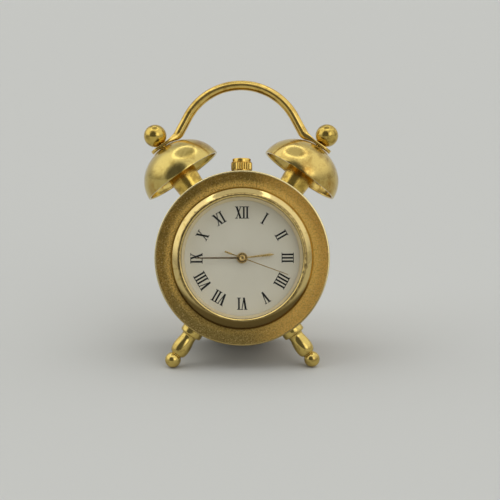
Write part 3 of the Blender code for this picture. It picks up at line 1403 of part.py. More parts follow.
def make_motor(frame, materials):
    low = PLATE_BACK + SEAT_GAP
    half = COIL_LENGTH / 2
    eye = (*ROTOR_PLACE, STATOR_EYE_RADIUS)
    feet = [(COIL_CENTRE_X + side * half, COIL_CENTRE_Y, STATOR_FOOT_RADIUS) for side in (-1, 1)]
    outline = hull([eye] + feet, SMALL_STEPS)
    hole = circle(STATOR_HOLE_RADIUS, TURNED_STEPS, ROTOR_PLACE)
    stator = stacked([(outline, low, low + STATOR_THICKNESS)], bore=hole)
    add_object("stator", stator, materials["steel"], frame, axial())
    flange = COIL_FLANGE_THICKNESS
    profile = [
        (0, -half),
        (COIL_FLANGE_RADIUS, -half),
        (COIL_FLANGE_RADIUS, -half + flange),
        (COIL_RADIUS, -half + flange),
        (COIL_RADIUS, half - flange),
        (COIL_FLANGE_RADIUS, half - flange),
        (COIL_FLANGE_RADIUS, half),
        (0, half),
    ]
    depth = low + STATOR_THICKNESS + SEAT_GAP + COIL_FLANGE_RADIUS
    lie = Matrix.Translation((COIL_CENTRE_X, COIL_CENTRE_Y, depth)) @ Matrix.Rotation(math.pi / 2, 4, "Y")
    coil = turned(profile, SMALL_STEPS)
    add_object("coil", coil, materials["copper"], frame, axial() @ lie)


def make_circuit(frame, materials):
    low = PLATE_BACK + SEAT_GAP
    top = low + BOARD_THICKNESS
    outline = rectangle(BOARD_CENTRE_X, BOARD_CENTRE_Y, BOARD_LENGTH, BOARD_WIDTH)
    board = add_object(
        "circuit_board", stacked([(outline, low, top)]), materials["board"], frame, axial()
    )
    chip_place = (BOARD_CENTRE_X, BOARD_CENTRE_Y + BOARD_WIDTH / 4)
    chip = rod(CHIP_RADIUS, top - BOARD_THICKNESS / 2, top + CHIP_HEIGHT, SMALL_STEPS, chip_place)
    combine(board, add_helper("chip", chip, frame, axial()), "UNION")
    can = rod(CAN_RADIUS, -CAN_LENGTH / 2, CAN_LENGTH / 2, SMALL_STEPS)
    place = (BOARD_CENTRE_X, BOARD_CENTRE_Y - BOARD_WIDTH / 4, top + SEAT_GAP + CAN_RADIUS)
    lie = Matrix.Translation(place) @ Matrix.Rotation(math.pi / 2, 4, "Y")
    add_object("quartz_can", can, materials["steel"], frame, axial() @ lie)


def make_battery(frame, materials):
    low = BRIDGE_BACK - BATTERY_HEIGHT
    cap_radius = BATTERY_RADIUS - BATTERY_STEP
    layers = [
        (circle(cap_radius, BELL_STEPS), low, low + BATTERY_STEP),
        (circle(BATTERY_RADIUS, BELL_STEPS), low + BATTERY_STEP, BRIDGE_BACK),
    ]
    add_object("battery", stacked(layers), materials["steel"], frame, axial(BATTERY_PLACE))
    clip_low = BRIDGE_BACK + SEAT_GAP
    anchor = PILLAR_PLACES[1]
    ends = [(*BATTERY_PLACE, CLIP_END_RADIUS), (*anchor, CLIP_END_RADIUS)]
    clip = stacked(
        [(hull(ends, SMALL_STEPS), clip_low, clip_low + CLIP_THICKNESS)],
        bore=circle(SCREW_RADIUS + RUNNING_GAP, PIVOT_STEPS, anchor),
    )
    add_object("battery_clip", clip, materials["steel"], frame, axial())


def lean_angle():
    """Angle of the line under a foot ball and the case's rear edge."""
    ball_height = FOOT_BALL_DISTANCE * math.cos(FOOT_ANGLE)
    edge_height = REAR_ROUND - DRUM_RADIUS
    back = CASE_DEPTH - REAR_ROUND - FOOT_DEPTH
    rise = edge_height - ball_height
    return math.atan2(rise, back) + math.asin((FOOT_BALL_RADIUS - REAR_ROUND) / math.hypot(back, rise))


def stand_on_origin(frame):
    """Moves the frame so that the clock stands at height 0, centred on the origin."""
    bpy.context.view_layer.update()
    graph = bpy.context.evaluated_depsgraph_get()
    corners = []
    for item in bpy.data.objects:
        if item.type == "MESH" and not item.hide_render:
            evaluated = item.evaluated_get(graph)
            corners += [evaluated.matrix_world @ vert.co for vert in evaluated.data.vertices]
    low = [min(corner[axis] for corner in corners) for axis in range(3)]
    high = [max(corner[axis] for corner in corners) for axis in range(3)]
    frame.location = (-(low[0] + high[0]) / 2, -(low[1] + high[1]) / 2, -low[2])
    bpy.context.view_layer.update()


def main():
    clear_scene()
    materials = make_materials()
    frame = bpy.data.objects.new("clock_frame", None)
    bpy.context.collection.objects.link(frame)
    frame.rotation_euler = (-lean_angle(), 0, 0)
    drum = drum_cutter("drum_saddle", frame)
    make_case(frame, materials)
    make_bezel(frame, materials)
    make_crystal(frame, materials)
    make_dial(frame, materials)
    make_hands(frame, materials)
    make_back_cover(frame, materials)
    make_posts(frame, materials, drum)
    make_bells(frame, materials)
    make_knobs(frame, materials)
    make_handle(frame, materials)
    make_feet(frame, materials, drum)
    make_crown(frame, materials)
    make_stem(frame, materials)
    make_clutch_pinion(frame, materials)
    make_setting_lever(frame, materials)
    make_holder(frame, materials)
    make_main_plate(frame, materials)
    make_train_bridge(frame, materials)
    make_screws(frame, materials)
    make_motion_work(frame, materials)
    make_going_train(frame, materials)
    make_motor(frame, materials)
    make_circuit(frame, materials)
    make_battery(frame, materials)
    stand_on_origin(frame)


main()
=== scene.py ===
"""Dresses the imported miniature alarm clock: turned brass pieces, dial print, hands, glass, studio."""

import json
import math

import bmesh
import bpy
from mathutils import Matrix, Vector


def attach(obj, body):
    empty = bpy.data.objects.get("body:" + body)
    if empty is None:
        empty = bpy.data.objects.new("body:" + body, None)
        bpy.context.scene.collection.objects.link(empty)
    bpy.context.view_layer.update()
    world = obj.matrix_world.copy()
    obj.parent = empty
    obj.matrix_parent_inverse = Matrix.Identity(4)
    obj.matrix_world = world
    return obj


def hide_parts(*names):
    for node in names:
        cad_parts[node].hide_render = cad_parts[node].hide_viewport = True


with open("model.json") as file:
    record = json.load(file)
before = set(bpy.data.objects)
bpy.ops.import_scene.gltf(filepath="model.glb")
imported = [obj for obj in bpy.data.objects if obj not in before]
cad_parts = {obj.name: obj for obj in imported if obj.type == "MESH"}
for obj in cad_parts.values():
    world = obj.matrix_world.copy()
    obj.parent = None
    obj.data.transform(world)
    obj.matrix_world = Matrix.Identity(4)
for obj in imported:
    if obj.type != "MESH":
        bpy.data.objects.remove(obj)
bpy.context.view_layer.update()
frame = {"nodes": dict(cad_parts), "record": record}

MM = 0.001

# Depth of the movement's front face behind the front rim, where the hand axis is recorded
MOVEMENT_FRONT = 2.9 * MM

SIDES = (("left", -1), ("right", 1))


def clock_matrix():
    """The clock's own frame: X right, Y from the front rim to the back, Z up along the leaning dial."""
    joints = {joint["name"]: joint for joint in frame["record"]["behaviour"]["joints"]}
    back = Vector(joints["minute_spin"]["axis"]).normalized()
    up = Vector(joints["crown_pull"]["axis"]).normalized()
    right = back.cross(up)
    origin = Vector(joints["minute_spin"]["pos_m"]) - back * MOVEMENT_FRONT
    matrix = Matrix((right, back, up)).transposed().to_4x4()
    matrix.translation = origin
    return matrix


CLOCK = clock_matrix()


def axial(turn=0.0):
    """From plan coordinates (x right, y towards six) and depth to the world."""
    return CLOCK @ Matrix.Rotation(-math.pi / 2, 4, "X") @ Matrix.Rotation(turn, 4, "Z")


def radial(angle, depth):
    """Local Z points away from the case axis, at an angle clockwise from twelve."""
    return CLOCK @ Matrix.Translation((0, depth, 0)) @ Matrix.Rotation(angle, 4, "Y")


def in_mm(pairs):
    """Pairs of millimetres, such as the points of a section, in metres."""
    return [(first * MM, second * MM) for first, second in pairs]


# Materials


class Tree:
    """Short ways to add nodes to a material or the world."""

    def __init__(self, owner):
        owner.use_nodes = True
        self.nodes = owner.node_tree.nodes
        self.links = owner.node_tree.links

    def link(self, source, target):
        """Joins an output to an input, or gives the input a plain value."""
        if hasattr(source, "is_output"):
            self.links.new(source, target)
        else:
            target.default_value = source

    def add(self, kind, output, inputs, **settings):
        """Adds one node, with its settings and then its inputs by name or number, and gives one output."""
        node = self.nodes.new(kind)
        for key, value in settings.items():
            setattr(node, key, value)
        for key, value in inputs.items():
            self.link(value, node.inputs[key])
        return node.outputs[output]

    def span(self, value, low, high, to_low=0.0, to_high=1.0):
        """Eases a value from one range into another and stops at its ends."""
        inputs = {"Value": value, "From Min": low, "From Max": high, "To Min": to_low, "To Max": to_high}
        return self.add("ShaderNodeMapRange", "Result", inputs, interpolation_type="SMOOTHSTEP")

    def math(self, operation, first, second=0.0):
        return self.add("ShaderNodeMath", "Value", {0: first, 1: second}, operation=operation)

    def blend(self, factor, first, second):
        """Mixes two colours, each a tuple or an output."""
        first, second = [(*end, 1.0) if isinstance(end, tuple) else end for end in (first, second)]
        return self.add("ShaderNodeMix", 2, {"Factor": factor, 6: first, 7: second}, data_type="RGBA")


class Graph(Tree):
    """A new material. Places are measured in the frame given, or in the world at rest."""

    def __init__(self, name, matrix=None):
        self.material = bpy.data.materials.new(name)
        super().__init__(self.material)
        self.shader = self.nodes["Principled BSDF"]
        self.place = self.nodes.new("ShaderNodeTexCoord").outputs["Object"]
        if matrix:
            turn = matrix.to_euler()
            inputs = {"Vector": self.place, "Location": matrix.to_translation(), "Rotation": turn}
            self.place = self.add("ShaderNodeMapping", "Vector", inputs, vector_type="TEXTURE")

    def set(self, **values):
        for key, value in values.items():
            self.link(value, self.shader.inputs[key.replace("_", " ")])

    def stretched(self, scale, offset):
        inputs = {"Vector": self.place, "Scale": scale, "Location": offset}
        return self.add("ShaderNodeMapping", "Vector", inputs)

    def noise(self, size, detail=3.0, roughness=0.5, vector=None, distortion=0.0):
        inputs = {"Vector": vector or self.place, "Scale": 1 / size, "Detail": detail}
        inputs.update({"Roughness": roughness, "Distortion": distortion})
        return self.add("ShaderNodeTexNoise", "Fac", inputs)

    def rings(self, value, pitch):
        """Fine marks that repeat along a value, such as height or radius."""
        inputs = {"W": value, "Scale": 1 / pitch, "Detail": 4.0}
        return self.add("ShaderNodeTexNoise", "Fac", inputs, noise_dimensions="1D")

    def scratches(self, length, width, offset):
        """Sparse hairlines in one direction."""
        vector = self.stretched((1 / length, 1 / width, 1 / width), offset)
        return self.span(self.noise(1.0, 1.0, 0.5, vector), 0.62, 0.7)

    def bump(self, height, distance, strength=1.0, normal=None):
        inputs = {"Height": height, "Distance": distance, "Strength": strength}
        if normal:
            inputs["Normal"] = normal
        return self.add("ShaderNodeBump", "Normal", inputs)

    def axes(self):
        """Outputs for local X, Y and Z."""
        node = self.nodes.new("ShaderNodeSeparateXYZ")
        self.link(self.place, node.inputs["Vector"])
        return node.outputs

    def radius(self):
        """Distance from local Z."""
        squares = [self.math("MULTIPLY", axis, axis) for axis in self.axes()[:2]]
        return self.math("SQRT", self.math("ADD", *squares))

    def near(self, point, reach):
        """One at a point, falling to zero at its reach."""
        away = self.add("ShaderNodeVectorMath", "Value", {0: self.place, 1: point}, operation="DISTANCE")
        return self.span(away, 0.0, reach, 1.0, 0.0)


RUST = (0.42, 0.24, 0.05)


def brass(
    name,
    bright,
    dark,
    rough,
    cloud,
    amount,
    matrix=None,
    wave=0.0,
    marks=None,
    seed=0.0,
    pits=0.0,
    stains=(),
):
    """Polished brass with cloudy patina.

    rough is (clean, clouded), cloud the size of the patches and amount their share. wave is the depth of
    a hand-polished surface's slow waviness, marks the pitch of turning marks along local Z, pits the depth
    of pits, and stains gives (point, reach) of rusty places. seed shifts the patina.
    """
    g = Graph(name, matrix)
    shifted = g.stretched((1, 1, 1), (seed, seed * 1.7, seed * 0.6))
    clouds = g.noise(cloud, 5.0, 0.6, shifted, 0.5)
    patches = g.span(clouds, 0.62 - 0.3 * amount, 0.84 - 0.3 * amount)
    specks = g.span(g.noise(cloud / 8, 3.0, 0.7, shifted), 0.58, 0.74)
    tarnish = g.math("MAXIMUM", g.math("MULTIPLY", patches, 0.85), g.math("MULTIPLY", specks, 0.5))
    base = g.blend(tarnish, bright, dark)
    for point, reach in stains:
        ragged = g.span(g.noise(cloud / 3, 4.0, 0.65, shifted), 0.3, 0.6)
        base = g.blend(g.math("MULTIPLY", g.near(point, reach), ragged), base, RUST)
    smear = g.span(g.noise(cloud * 0.55, 4.0, 0.65, shifted, 0.9), 0.35, 0.7, *rough)
    g.set(
        Base_Color=base,
        Roughness=g.math("ADD", smear, g.math("MULTIPLY", tarnish, 0.07)),
        Metallic=1.0,
    )
    normal = g.bump(g.noise(0.4 * MM, 2.0, 0.5, shifted), 0.003 * MM, 0.5)
    if wave:
        normal = g.bump(g.noise(3.5 * MM, 2.0, 0.5, shifted), wave, 1.0, normal)
    if marks:
        normal = g.bump(g.rings(g.axes()[2], marks), 0.008 * MM, 0.6, normal)
    if pits:
        normal = g.bump(g.span(g.noise(0.9 * MM, 2.0, 0.5, shifted), 0.68, 0.76, 1, 0), pits, 1.0, normal)
    across = g.scratches(2.5 * MM, 0.05 * MM, (3, 1, 2))
    along = g.scratches(0.05 * MM, 0.06 * MM, (1, 5, 2))
    g.set(Normal=g.bump(g.math("MAXIMUM", across, along), -0.002 * MM, 0.6, normal))
    return g.material


SANDED_TONES = {
    "brown": (0.36, 0.225, 0.05),
    "umber": (0.23, 0.155, 0.037),
    "olive": (0.26, 0.19, 0.058),
    # Painted light: the lighter gold of the side towards three
    "lit side gold": (0.8, 0.49, 0.12),
    # Painted light: the brighter gold beside the bezel
    "inner light gold": (0.86, 0.56, 0.14),
    "speck": (0.15, 0.095, 0.026),
    "glint": (0.85, 0.64, 0.26),
    "bright lip": (0.78, 0.66, 0.34),
    # Painted dark reflection: the polished lip towards six
    "lip dark reflection": (0.42, 0.31, 0.11),
}
# Radii between which the painted light beside the bezel ends and the polished lip begins
INNER_LIGHT_END = (17.9 * MM, 19.3 * MM)
LIP_START = (20.66 * MM, 20.8 * MM)
# Places between which the colour changes: the painted light of the side towards three fades towards the back
# and grows towards three, the patina turns olive towards six, and the painted light beside the bezel fades
# towards six
SIDE_START = (1.4 * MM, 4.0 * MM)
LIT_SIDE_START = (-1.0 * MM, 13.0 * MM)
OLIVE_START = (4.0 * MM, 16.0 * MM)
INNER_LIGHT_FADE = (6.0 * MM, 15.0 * MM)


def sanded(name):
    """The case: sanded grain, polished along its outer lip, with painted light next to the bezel."""
    g = Graph(name, axial())
    tones = SANDED_TONES
    across, down, depth = g.axes()
    radius = g.radius()
    grain = g.noise(0.22 * MM, 3.0, 0.75)
    # The patina is browner at twelve and an olive, coarser speckle towards six. Towards three the case is
    # painted light: a lighter gold with fewer dark specks
    front = g.span(depth, *SIDE_START, 1.0, 0.45)
    lit_side = g.math("MULTIPLY", g.span(across, *LIT_SIDE_START), front)
    low = g.span(down, *OLIVE_START)
    blotch = g.span(g.noise(5.0 * MM, 4.0, 0.6), 0.36, 0.64)
    base = g.blend(blotch, tones["brown"], tones["umber"])
    base = g.blend(low, base, tones["olive"])
    base = g.blend(g.math("MULTIPLY", lit_side, 0.9), base, tones["lit side gold"])
    # Painted light beside the bezel, weaker towards six where it is painted shade
    inner_light = g.math("MULTIPLY", g.span(radius, *INNER_LIGHT_END, 1, 0), g.span(down, *INNER_LIGHT_FADE, 0.85, 0.3))
    base = g.blend(inner_light, base, tones["inner light gold"])
    speck = g.span(g.noise(0.42 * MM, 4.0, 0.75), 0.44, 0.62)
    speck = g.math("MULTIPLY", speck, g.span(lit_side, 0.0, 1.0, 0.75, 0.35))
    base = g.blend(speck, base, tones["speck"])
    elsewhere = g.stretched((1, 1, 1), (0.3, 0.1, 0.7))
    glint = g.span(g.noise(0.36 * MM, 3.0, 0.8, elsewhere), 0.56, 0.64)
    base = g.blend(g.math("MULTIPLY", glint, 0.5), base, tones["glint"])
    lip = g.span(radius, *LIP_START)
    # Towards six the polished lip is darker: a painted dark reflection
    base = g.blend(lip, base, g.blend(low, tones["bright lip"], tones["lip dark reflection"]))
    g.set(
        Base_Color=base,
        Metallic=1.0,
        Roughness=g.math("SUBTRACT", g.span(grain, 0.3, 0.7, 0.32, 0.46), g.math("MULTIPLY", lip, 0.2)),
    )
    unpolished = g.math("SUBTRACT", 1.0, g.math("MULTIPLY", lip, 0.95))
    g.set(Normal=g.bump(g.math("MULTIPLY", grain, unpolished), 0.2 * MM, 1.0))
    return g.material


BEZEL_TONES = {
    "clean": (0.7, 0.54, 0.22),
    "worn": (0.58, 0.43, 0.15),
    # Brown: the colour of the painted shade and painted dark reflections on the bezel
    "brown": (0.13, 0.082, 0.022),
    "dent": (0.12, 0.08, 0.03),
    "satin": (0.95, 0.82, 0.56),
}
# Radii between which the bezel's zones begin or end, from the glass outward
SATIN_END = (14.62 * MM, 14.68 * MM)
# Painted dark reflection on the crest beside the glass
CREST_SHADE_START = (14.98 * MM, 15.08 * MM)
CREST_SHADE_END = (15.45 * MM, 15.75 * MM)
ROLL_START = (15.1 * MM, 15.35 * MM)
# Painted shadow in the gap at the bezel's foot
FOOT_SHADOW_START = (17.05 * MM, 17.3 * MM)
# How far towards six the roll is painted brown as a dark reflection, and how much sooner it does so outside
# a radius
ROLL_SHADE_START = (6.5 * MM, 11.5 * MM)
ROLL_SHADE_EDGE = 16.2 * MM
ROLL_SHADE_EDGE_LEAD = 4.0
# Pry marks: degrees clockwise from twelve, radius, reach. Their middles lie before the front rim
BEZEL_DENTS = (
    (98, 15.4 * MM, 0.7 * MM),
    (104, 15.2 * MM, 0.5 * MM),
    (314, 15.6 * MM, 0.45 * MM),
    (231, 15.3 * MM, 0.4 * MM),
    (268, 15.3 * MM, 0.35 * MM),
)
DENT_DEPTH = -0.9 * MM


def bezel_metal(name):
    """Bright bezel with a few pry marks and worn spots, with painted shade and painted dark reflections in
    brown.
    """
    g = Graph(name, axial())
    tones = BEZEL_TONES
    worn = g.span(g.noise(1.6 * MM, 4.0, 0.6), 0.55, 0.72)
    dents = 0.0
    for degrees, distance, reach in BEZEL_DENTS:
        angle = math.radians(degrees)
        point = (distance * math.sin(angle), -distance * math.cos(angle), DENT_DEPTH)
        dents = g.math("MAXIMUM", dents, g.near(point, reach))
    ragged = g.math("MULTIPLY", dents, g.span(g.noise(0.35 * MM, 3.0, 0.7), 0.35, 0.55))
    radius = g.radius()
    # The crest beside the glass is darkened by a painted dark reflection, and the inner ring is a paler
    # satin
    crest = g.math("MULTIPLY", g.span(radius, *CREST_SHADE_START), g.span(radius, *CREST_SHADE_END, 1, 0))
    crest_shade = g.math("MULTIPLY", crest, g.span(g.noise(0.7 * MM, 4.0, 0.7), 0.35, 0.6, 0.4, 0.85))
    # Painted shadow in the gap where the bezel's foot meets the case
    foot = g.span(radius, *FOOT_SHADOW_START, 0, 0.6)
    satin = g.span(radius, *SATIN_END, 1, 0)
    # The outer roll is painted brown towards six, a painted dark reflection, and first at its edge
    lead = g.math("MULTIPLY", g.math("SUBTRACT", radius, ROLL_SHADE_EDGE), ROLL_SHADE_EDGE_LEAD)
    low = g.span(g.math("ADD", g.axes()[1], lead), *ROLL_SHADE_START, 0, 0.93)
    roll = g.math("MULTIPLY", g.span(radius, *ROLL_START), low)
    # The painted dark reflections on crest and roll and the painted shadow at the foot are all mixed in as
    # brown
    brown = g.math("MAXIMUM", g.math("MAXIMUM", crest_shade, foot), roll)
    base = g.blend(brown, g.blend(worn, tones["clean"], tones["worn"]), tones["brown"])
    base = g.blend(satin, g.blend(ragged, base, tones["dent"]), tones["satin"])
    rough = g.math("ADD", g.span(worn, 0, 1, 0.08, 0.15), g.math("MULTIPLY", ragged, 0.3))
    rough = g.math("ADD", rough, g.math("MULTIPLY", satin, 0.28))
    g.set(
        Base_Color=base,
        Metallic=g.math("SUBTRACT", 1.0, g.math("MULTIPLY", satin, 0.4)),
        Roughness=g.math("ADD", rough, g.math("MULTIPLY", brown, 0.12)),
    )
    normal = g.bump(g.noise(3.0 * MM, 1.0), 0.02 * MM, 1.0)
    normal = g.bump(g.math("MULTIPLY", dents, g.noise(0.3 * MM, 3.0, 0.7)), -0.12 * MM, 1.0, normal)
    g.set(Normal=g.bump(g.scratches(1.5 * MM, 0.05 * MM, (2, 1, 0)), -0.002 * MM, 0.6, normal))
    return g.material


def cover_metal(name):
    """Satin back cover with fine marks of turning round the middle."""
    g = Graph(name, axial())
    clouds = g.span(g.noise(3.0 * MM, 4.0, 0.6), 0.45, 0.7)
    g.set(
        Base_Color=g.blend(clouds, (0.56, 0.39, 0.12), (0.48, 0.33, 0.1)),
        Metallic=1.0,
        Roughness=g.span(g.noise(1.5 * MM, 3.0), 0.3, 0.7, 0.24, 0.38),
        Normal=g.bump(g.rings(g.radius(), 0.11 * MM), 0.012 * MM, 0.7),
    )
    return g.material


def dial_paint():
    """Cream paint with faint clouds and a fine tooth."""
    g = Graph("dial_paint", axial())
    tone = g.span(g.noise(6.0 * MM, 3.0), 0.35, 0.7)
    g.set(
        Base_Color=g.blend(tone, (0.79, 0.74, 0.62), (0.76, 0.71, 0.59)),
        Roughness=g.span(g.noise(0.5 * MM, 2.0), 0.3, 0.7, 0.42, 0.52),
        Specular_IOR_Level=0.4,
        Normal=g.bump(g.noise(0.12 * MM, 2.0), 0.002 * MM, 0.4),
    )
    return g.material


def ink():
    """Near-black print of slightly uneven density."""
    g = Graph("dial_ink")
    tone = g.span(g.noise(0.4 * MM, 2.0), 0.3, 0.7)
    g.set(
        Base_Color=g.blend(tone, (0.005, 0.005, 0.006), (0.012, 0.0115, 0.011)),
        Roughness=0.5,
        Specular_IOR_Level=0.3,
    )
    return g.material


def glass():
    """Clear flat glass: what shows through is hardly dimmed, and its mirror grows towards a slant."""
    g = Graph("crystal_clear")
    clear = g.add("ShaderNodeBsdfTransparent", "BSDF", {"Color": (0.985, 0.99, 0.985, 1.0)})
    sheen = g.add("ShaderNodeBsdfGlossy", "BSDF", {"Roughness": 0.02})
    slant = g.math("POWER", g.add("ShaderNodeLayerWeight", "Facing", {"Blend": 0.5}), 5.0)
    mirror = g.math("ADD", g.math("MULTIPLY", slant, 0.8), 0.025)
    surface = g.add("ShaderNodeMixShader", "Shader", {"Fac": mirror, 1: clear, 2: sheen})
    g.nodes.remove(g.shader)
    g.link(surface, g.nodes["Material Output"].inputs["Surface"])
    return g.material


def plain(name, first, second, rough, metallic, size):
    """Moulded, plated or printed movement parts: two close tones, uneven gloss, fine bump."""
    g = Graph(name)
    g.set(
        Base_Color=g.blend(g.span(g.noise(size, 3.0), 0.35, 0.65), first, second),
        Roughness=g.span(g.noise(size / 3, 3.0), 0.3, 0.7, *rough),
        Metallic=metallic,
        Normal=g.bump(g.noise(size / 10, 2.0), 0.003 * MM, 0.5),
    )
    return g.material


GILT_NODES = (
    "hour_wheel",
    "minute_wheel",
    "second_wheel",
    "third_wheel",
    "centre_wheel",
    "intermediate_wheel",
)
PLATED_NODES = (
    "cannon_pinion",
    "setting_wheel",
    "rotor",
    "stem",
    "clutch_pinion",
    "setting_lever",
    "train_bridge",
    "bridge_screw_1",
    "bridge_screw_2",
    "bridge_screw_3",
    "stator",
    "quartz_can",
    "battery",
    "battery_clip",
)
RESIN_NODES = ("movement_holder", "main_plate")
# The nodes that keep their own shape, each with its material: name, two tones, roughness, metallic, size
NODE_LOOKS = (
    (GILT_NODES, "movement_gilt", (0.62, 0.46, 0.18), (0.52, 0.37, 0.13), (0.2, 0.34), 1.0, 1 * MM),
    (PLATED_NODES, "movement_plating", (0.55, 0.55, 0.57), (0.45, 0.45, 0.47), (0.2, 0.34), 1.0, 2 * MM),
    (RESIN_NODES, "movement_resin", (0.62, 0.62, 0.58), (0.56, 0.56, 0.52), (0.4, 0.56), 0.0, 2 * MM),
    (("coil",), "coil_lacquer", (0.6, 0.22, 0.09), (0.42, 0.13, 0.05), (0.25, 0.4), 1.0, 0.3 * MM),
    (("circuit_board",), "board_laminate", (0.03, 0.17, 0.07), (0.02, 0.12, 0.05), (0.35, 0.5), 0.0, 1 * MM),
)


def dress_nodes():
    for nodes, *look in NODE_LOOKS:
        material = plain(*look)
        for node in nodes:
            for slot in frame["nodes"][node].material_slots:
                slot.material = material


# Mesh helpers


def add_piece(name, bm, material, matrix, body, nodes=(), sharp_angle=32):
    """Adds a piece with its place in its mesh, as the nodes have theirs."""
    bmesh.ops.transform(bm, matrix=matrix, verts=bm.verts)
    bmesh.ops.recalc_face_normals(bm, faces=bm.faces)
    mesh = bpy.data.meshes.new(name)
    bm.to_mesh(mesh)
    bm.free()
    mesh.shade_smooth()
    mesh.set_sharp_from_angle(angle=math.radians(sharp_angle))
    mesh.materials.append(material)
    piece = bpy.data.objects.new(name, mesh)
    bpy.context.collection.objects.link(piece)
    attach(piece, body)
    if nodes:
        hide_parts(*nodes)
    return piece


def turned(profile, steps, closed=False):
    """A (radius, height) profile spun round local Z. A closed one joins its last point to its first."""
    bm = bmesh.new()
    points = [bm.verts.new((radius, 0, height)) for radius, height in profile]
    ends = points[1:] + points[:1] if closed else points[1:]
    edges = [bm.edges.new(pair) for pair in zip(points, ends)]
    bmesh.ops.spin(bm, geom=points + edges, cent=(0, 0, 0), axis=(0, 0, 1), angle=math.tau, steps=steps)
    bmesh.ops.remove_doubles(bm, verts=bm.verts, dist=0.0001 * MM)
    return bm


def arc(centre, radii, start, end, steps):
    """Points along part of a circle or ellipse."""
    points = []
    for step in range(steps + 1):
        angle = start + (end - start) * step / steps
        points.append((centre[0] + radii[0] * math.cos(angle), centre[1] + radii[1] * math.sin(angle)))
    return points


def rounded(profile, size, steps):
    """The profile with each corner replaced by a small curve; its ends stay."""
    out = [profile[0]]
    for before, corner, after in zip(profile, profile[1:], profile[2:]):
        corner, before, after = Vector(corner), Vector(before), Vector(after)
        into, away = before - corner, after - corner
        reach = min(size, into.length * 0.45, away.length * 0.45)
        first, last = corner + into.normalized() * reach, corner + away.normalized() * reach
        for step in range(steps + 1):
            share = step / steps
            point = first.lerp(corner, share).lerp(corner.lerp(last, share), share)
            out.append((point.x, point.y))
    out.append(profile[-1])
    return out


def circle(radius, steps):
    turns = [math.tau * step / steps for step in range(steps)]
    return [(radius * math.cos(turn), radius * math.sin(turn)) for turn in turns]


def ring_of(bm, points):
    return [bm.verts.new(point) for point in points]


def walls(bm, rings):
    """Faces between each ring of vertices and the next."""
    for low, high in zip(rings, rings[1:]):
        for index in range(len(low)):
            bm.faces.new((low[index - 1], low[index], high[index], high[index - 1]))


def loft(bm, rings):
    """Closed body through rings of points, with flat ends."""
    rings = [ring_of(bm, points) for points in rings]
    walls(bm, rings)
    bm.faces.new(rings[0][::-1])
    bm.faces.new(rings[-1])


def slab(outline, low, high, hole=None):
    """A flat plate of an outline between two heights, with an optional hole."""
    bm = bmesh.new()
    loops = [outline] + ([hole] if hole else [])
    edges = ([], [])
    for points in loops:
        rings = [ring_of(bm, [(x, y, height) for x, y in points]) for height in (low, high)]
        for level, ring in enumerate(rings):
            edges[level].extend(bm.edges.new(pair) for pair in zip(ring, ring[1:] + ring[:1]))
        walls(bm, rings)
    for level in (0, 1):
        bmesh.ops.triangle_fill(bm, use_beauty=True, edges=edges[level])
    return bm


def cut_with(piece, bm, matrix):
    """Cuts a helper out of a piece and applies it at once, so that no helper stays."""
    bmesh.ops.transform(bm, matrix=matrix, verts=bm.verts)
    bmesh.ops.recalc_face_normals(bm, faces=bm.faces)
    cutter = bpy.data.objects.new("cutter", bpy.data.meshes.new("cutter"))
    bm.to_mesh(cutter.data)
    bm.free()
    bpy.context.collection.objects.link(cutter)
    modifier = piece.modifiers.new("cut", "BOOLEAN")
    modifier.solver = "EXACT"
    modifier.object = cutter
    bpy.context.view_layer.update()
    mesh = bpy.data.meshes.new_from_object(piece.evaluated_get(bpy.context.evaluated_depsgraph_get()))
    piece.modifiers.remove(modifier)
    piece.data = mesh
    bpy.data.objects.remove(cutter, do_unlink=True)


# Case and bezel

CASE_STEPS = 144
CASE_DEPTH = 26.0 * MM
FLANGE = 21.13 * MM
FLANGE_BACK = 1.0 * MM
DRUM = 20.58 * MM
DRUM_INSIDE = 18.6 * MM
FRONT_BORE = 15.95 * MM
WEB_BACK = 2.8 * MM
BEZEL_SEAT = 17.5 * MM
DISH_INNER = 17.85 * MM
DISH_OUTER = 20.74 * MM
DISH_DEPTH = 1.3 * MM
DISH_EDGE_DEPTH = 0.15 * MM
DISH_SAG = 0.24 * MM
DISH_STEPS = 12
REBATE_RADIUS = 19.4 * MM
REBATE_FLOOR = 25.2 * MM
REBATE_CHAMFER = 0.05 * MM
LIP_ROUNDING = 0.3 * MM
LIP_STEP = 0.03 * MM
FLANGE_CHAMFER = 0.1 * MM
BACK_ROUNDING = 0.7 * MM
# The stem's hole: its radius, its sides, the distances from the axis that it spans and its depth
STEM_HOLE = 0.56 * MM
STEM_HOLE_STEPS = 24
STEM_HOLE_REACH = (18.0 * MM, 22.0 * MM)
CROWN_DEPTH = 4.0 * MM


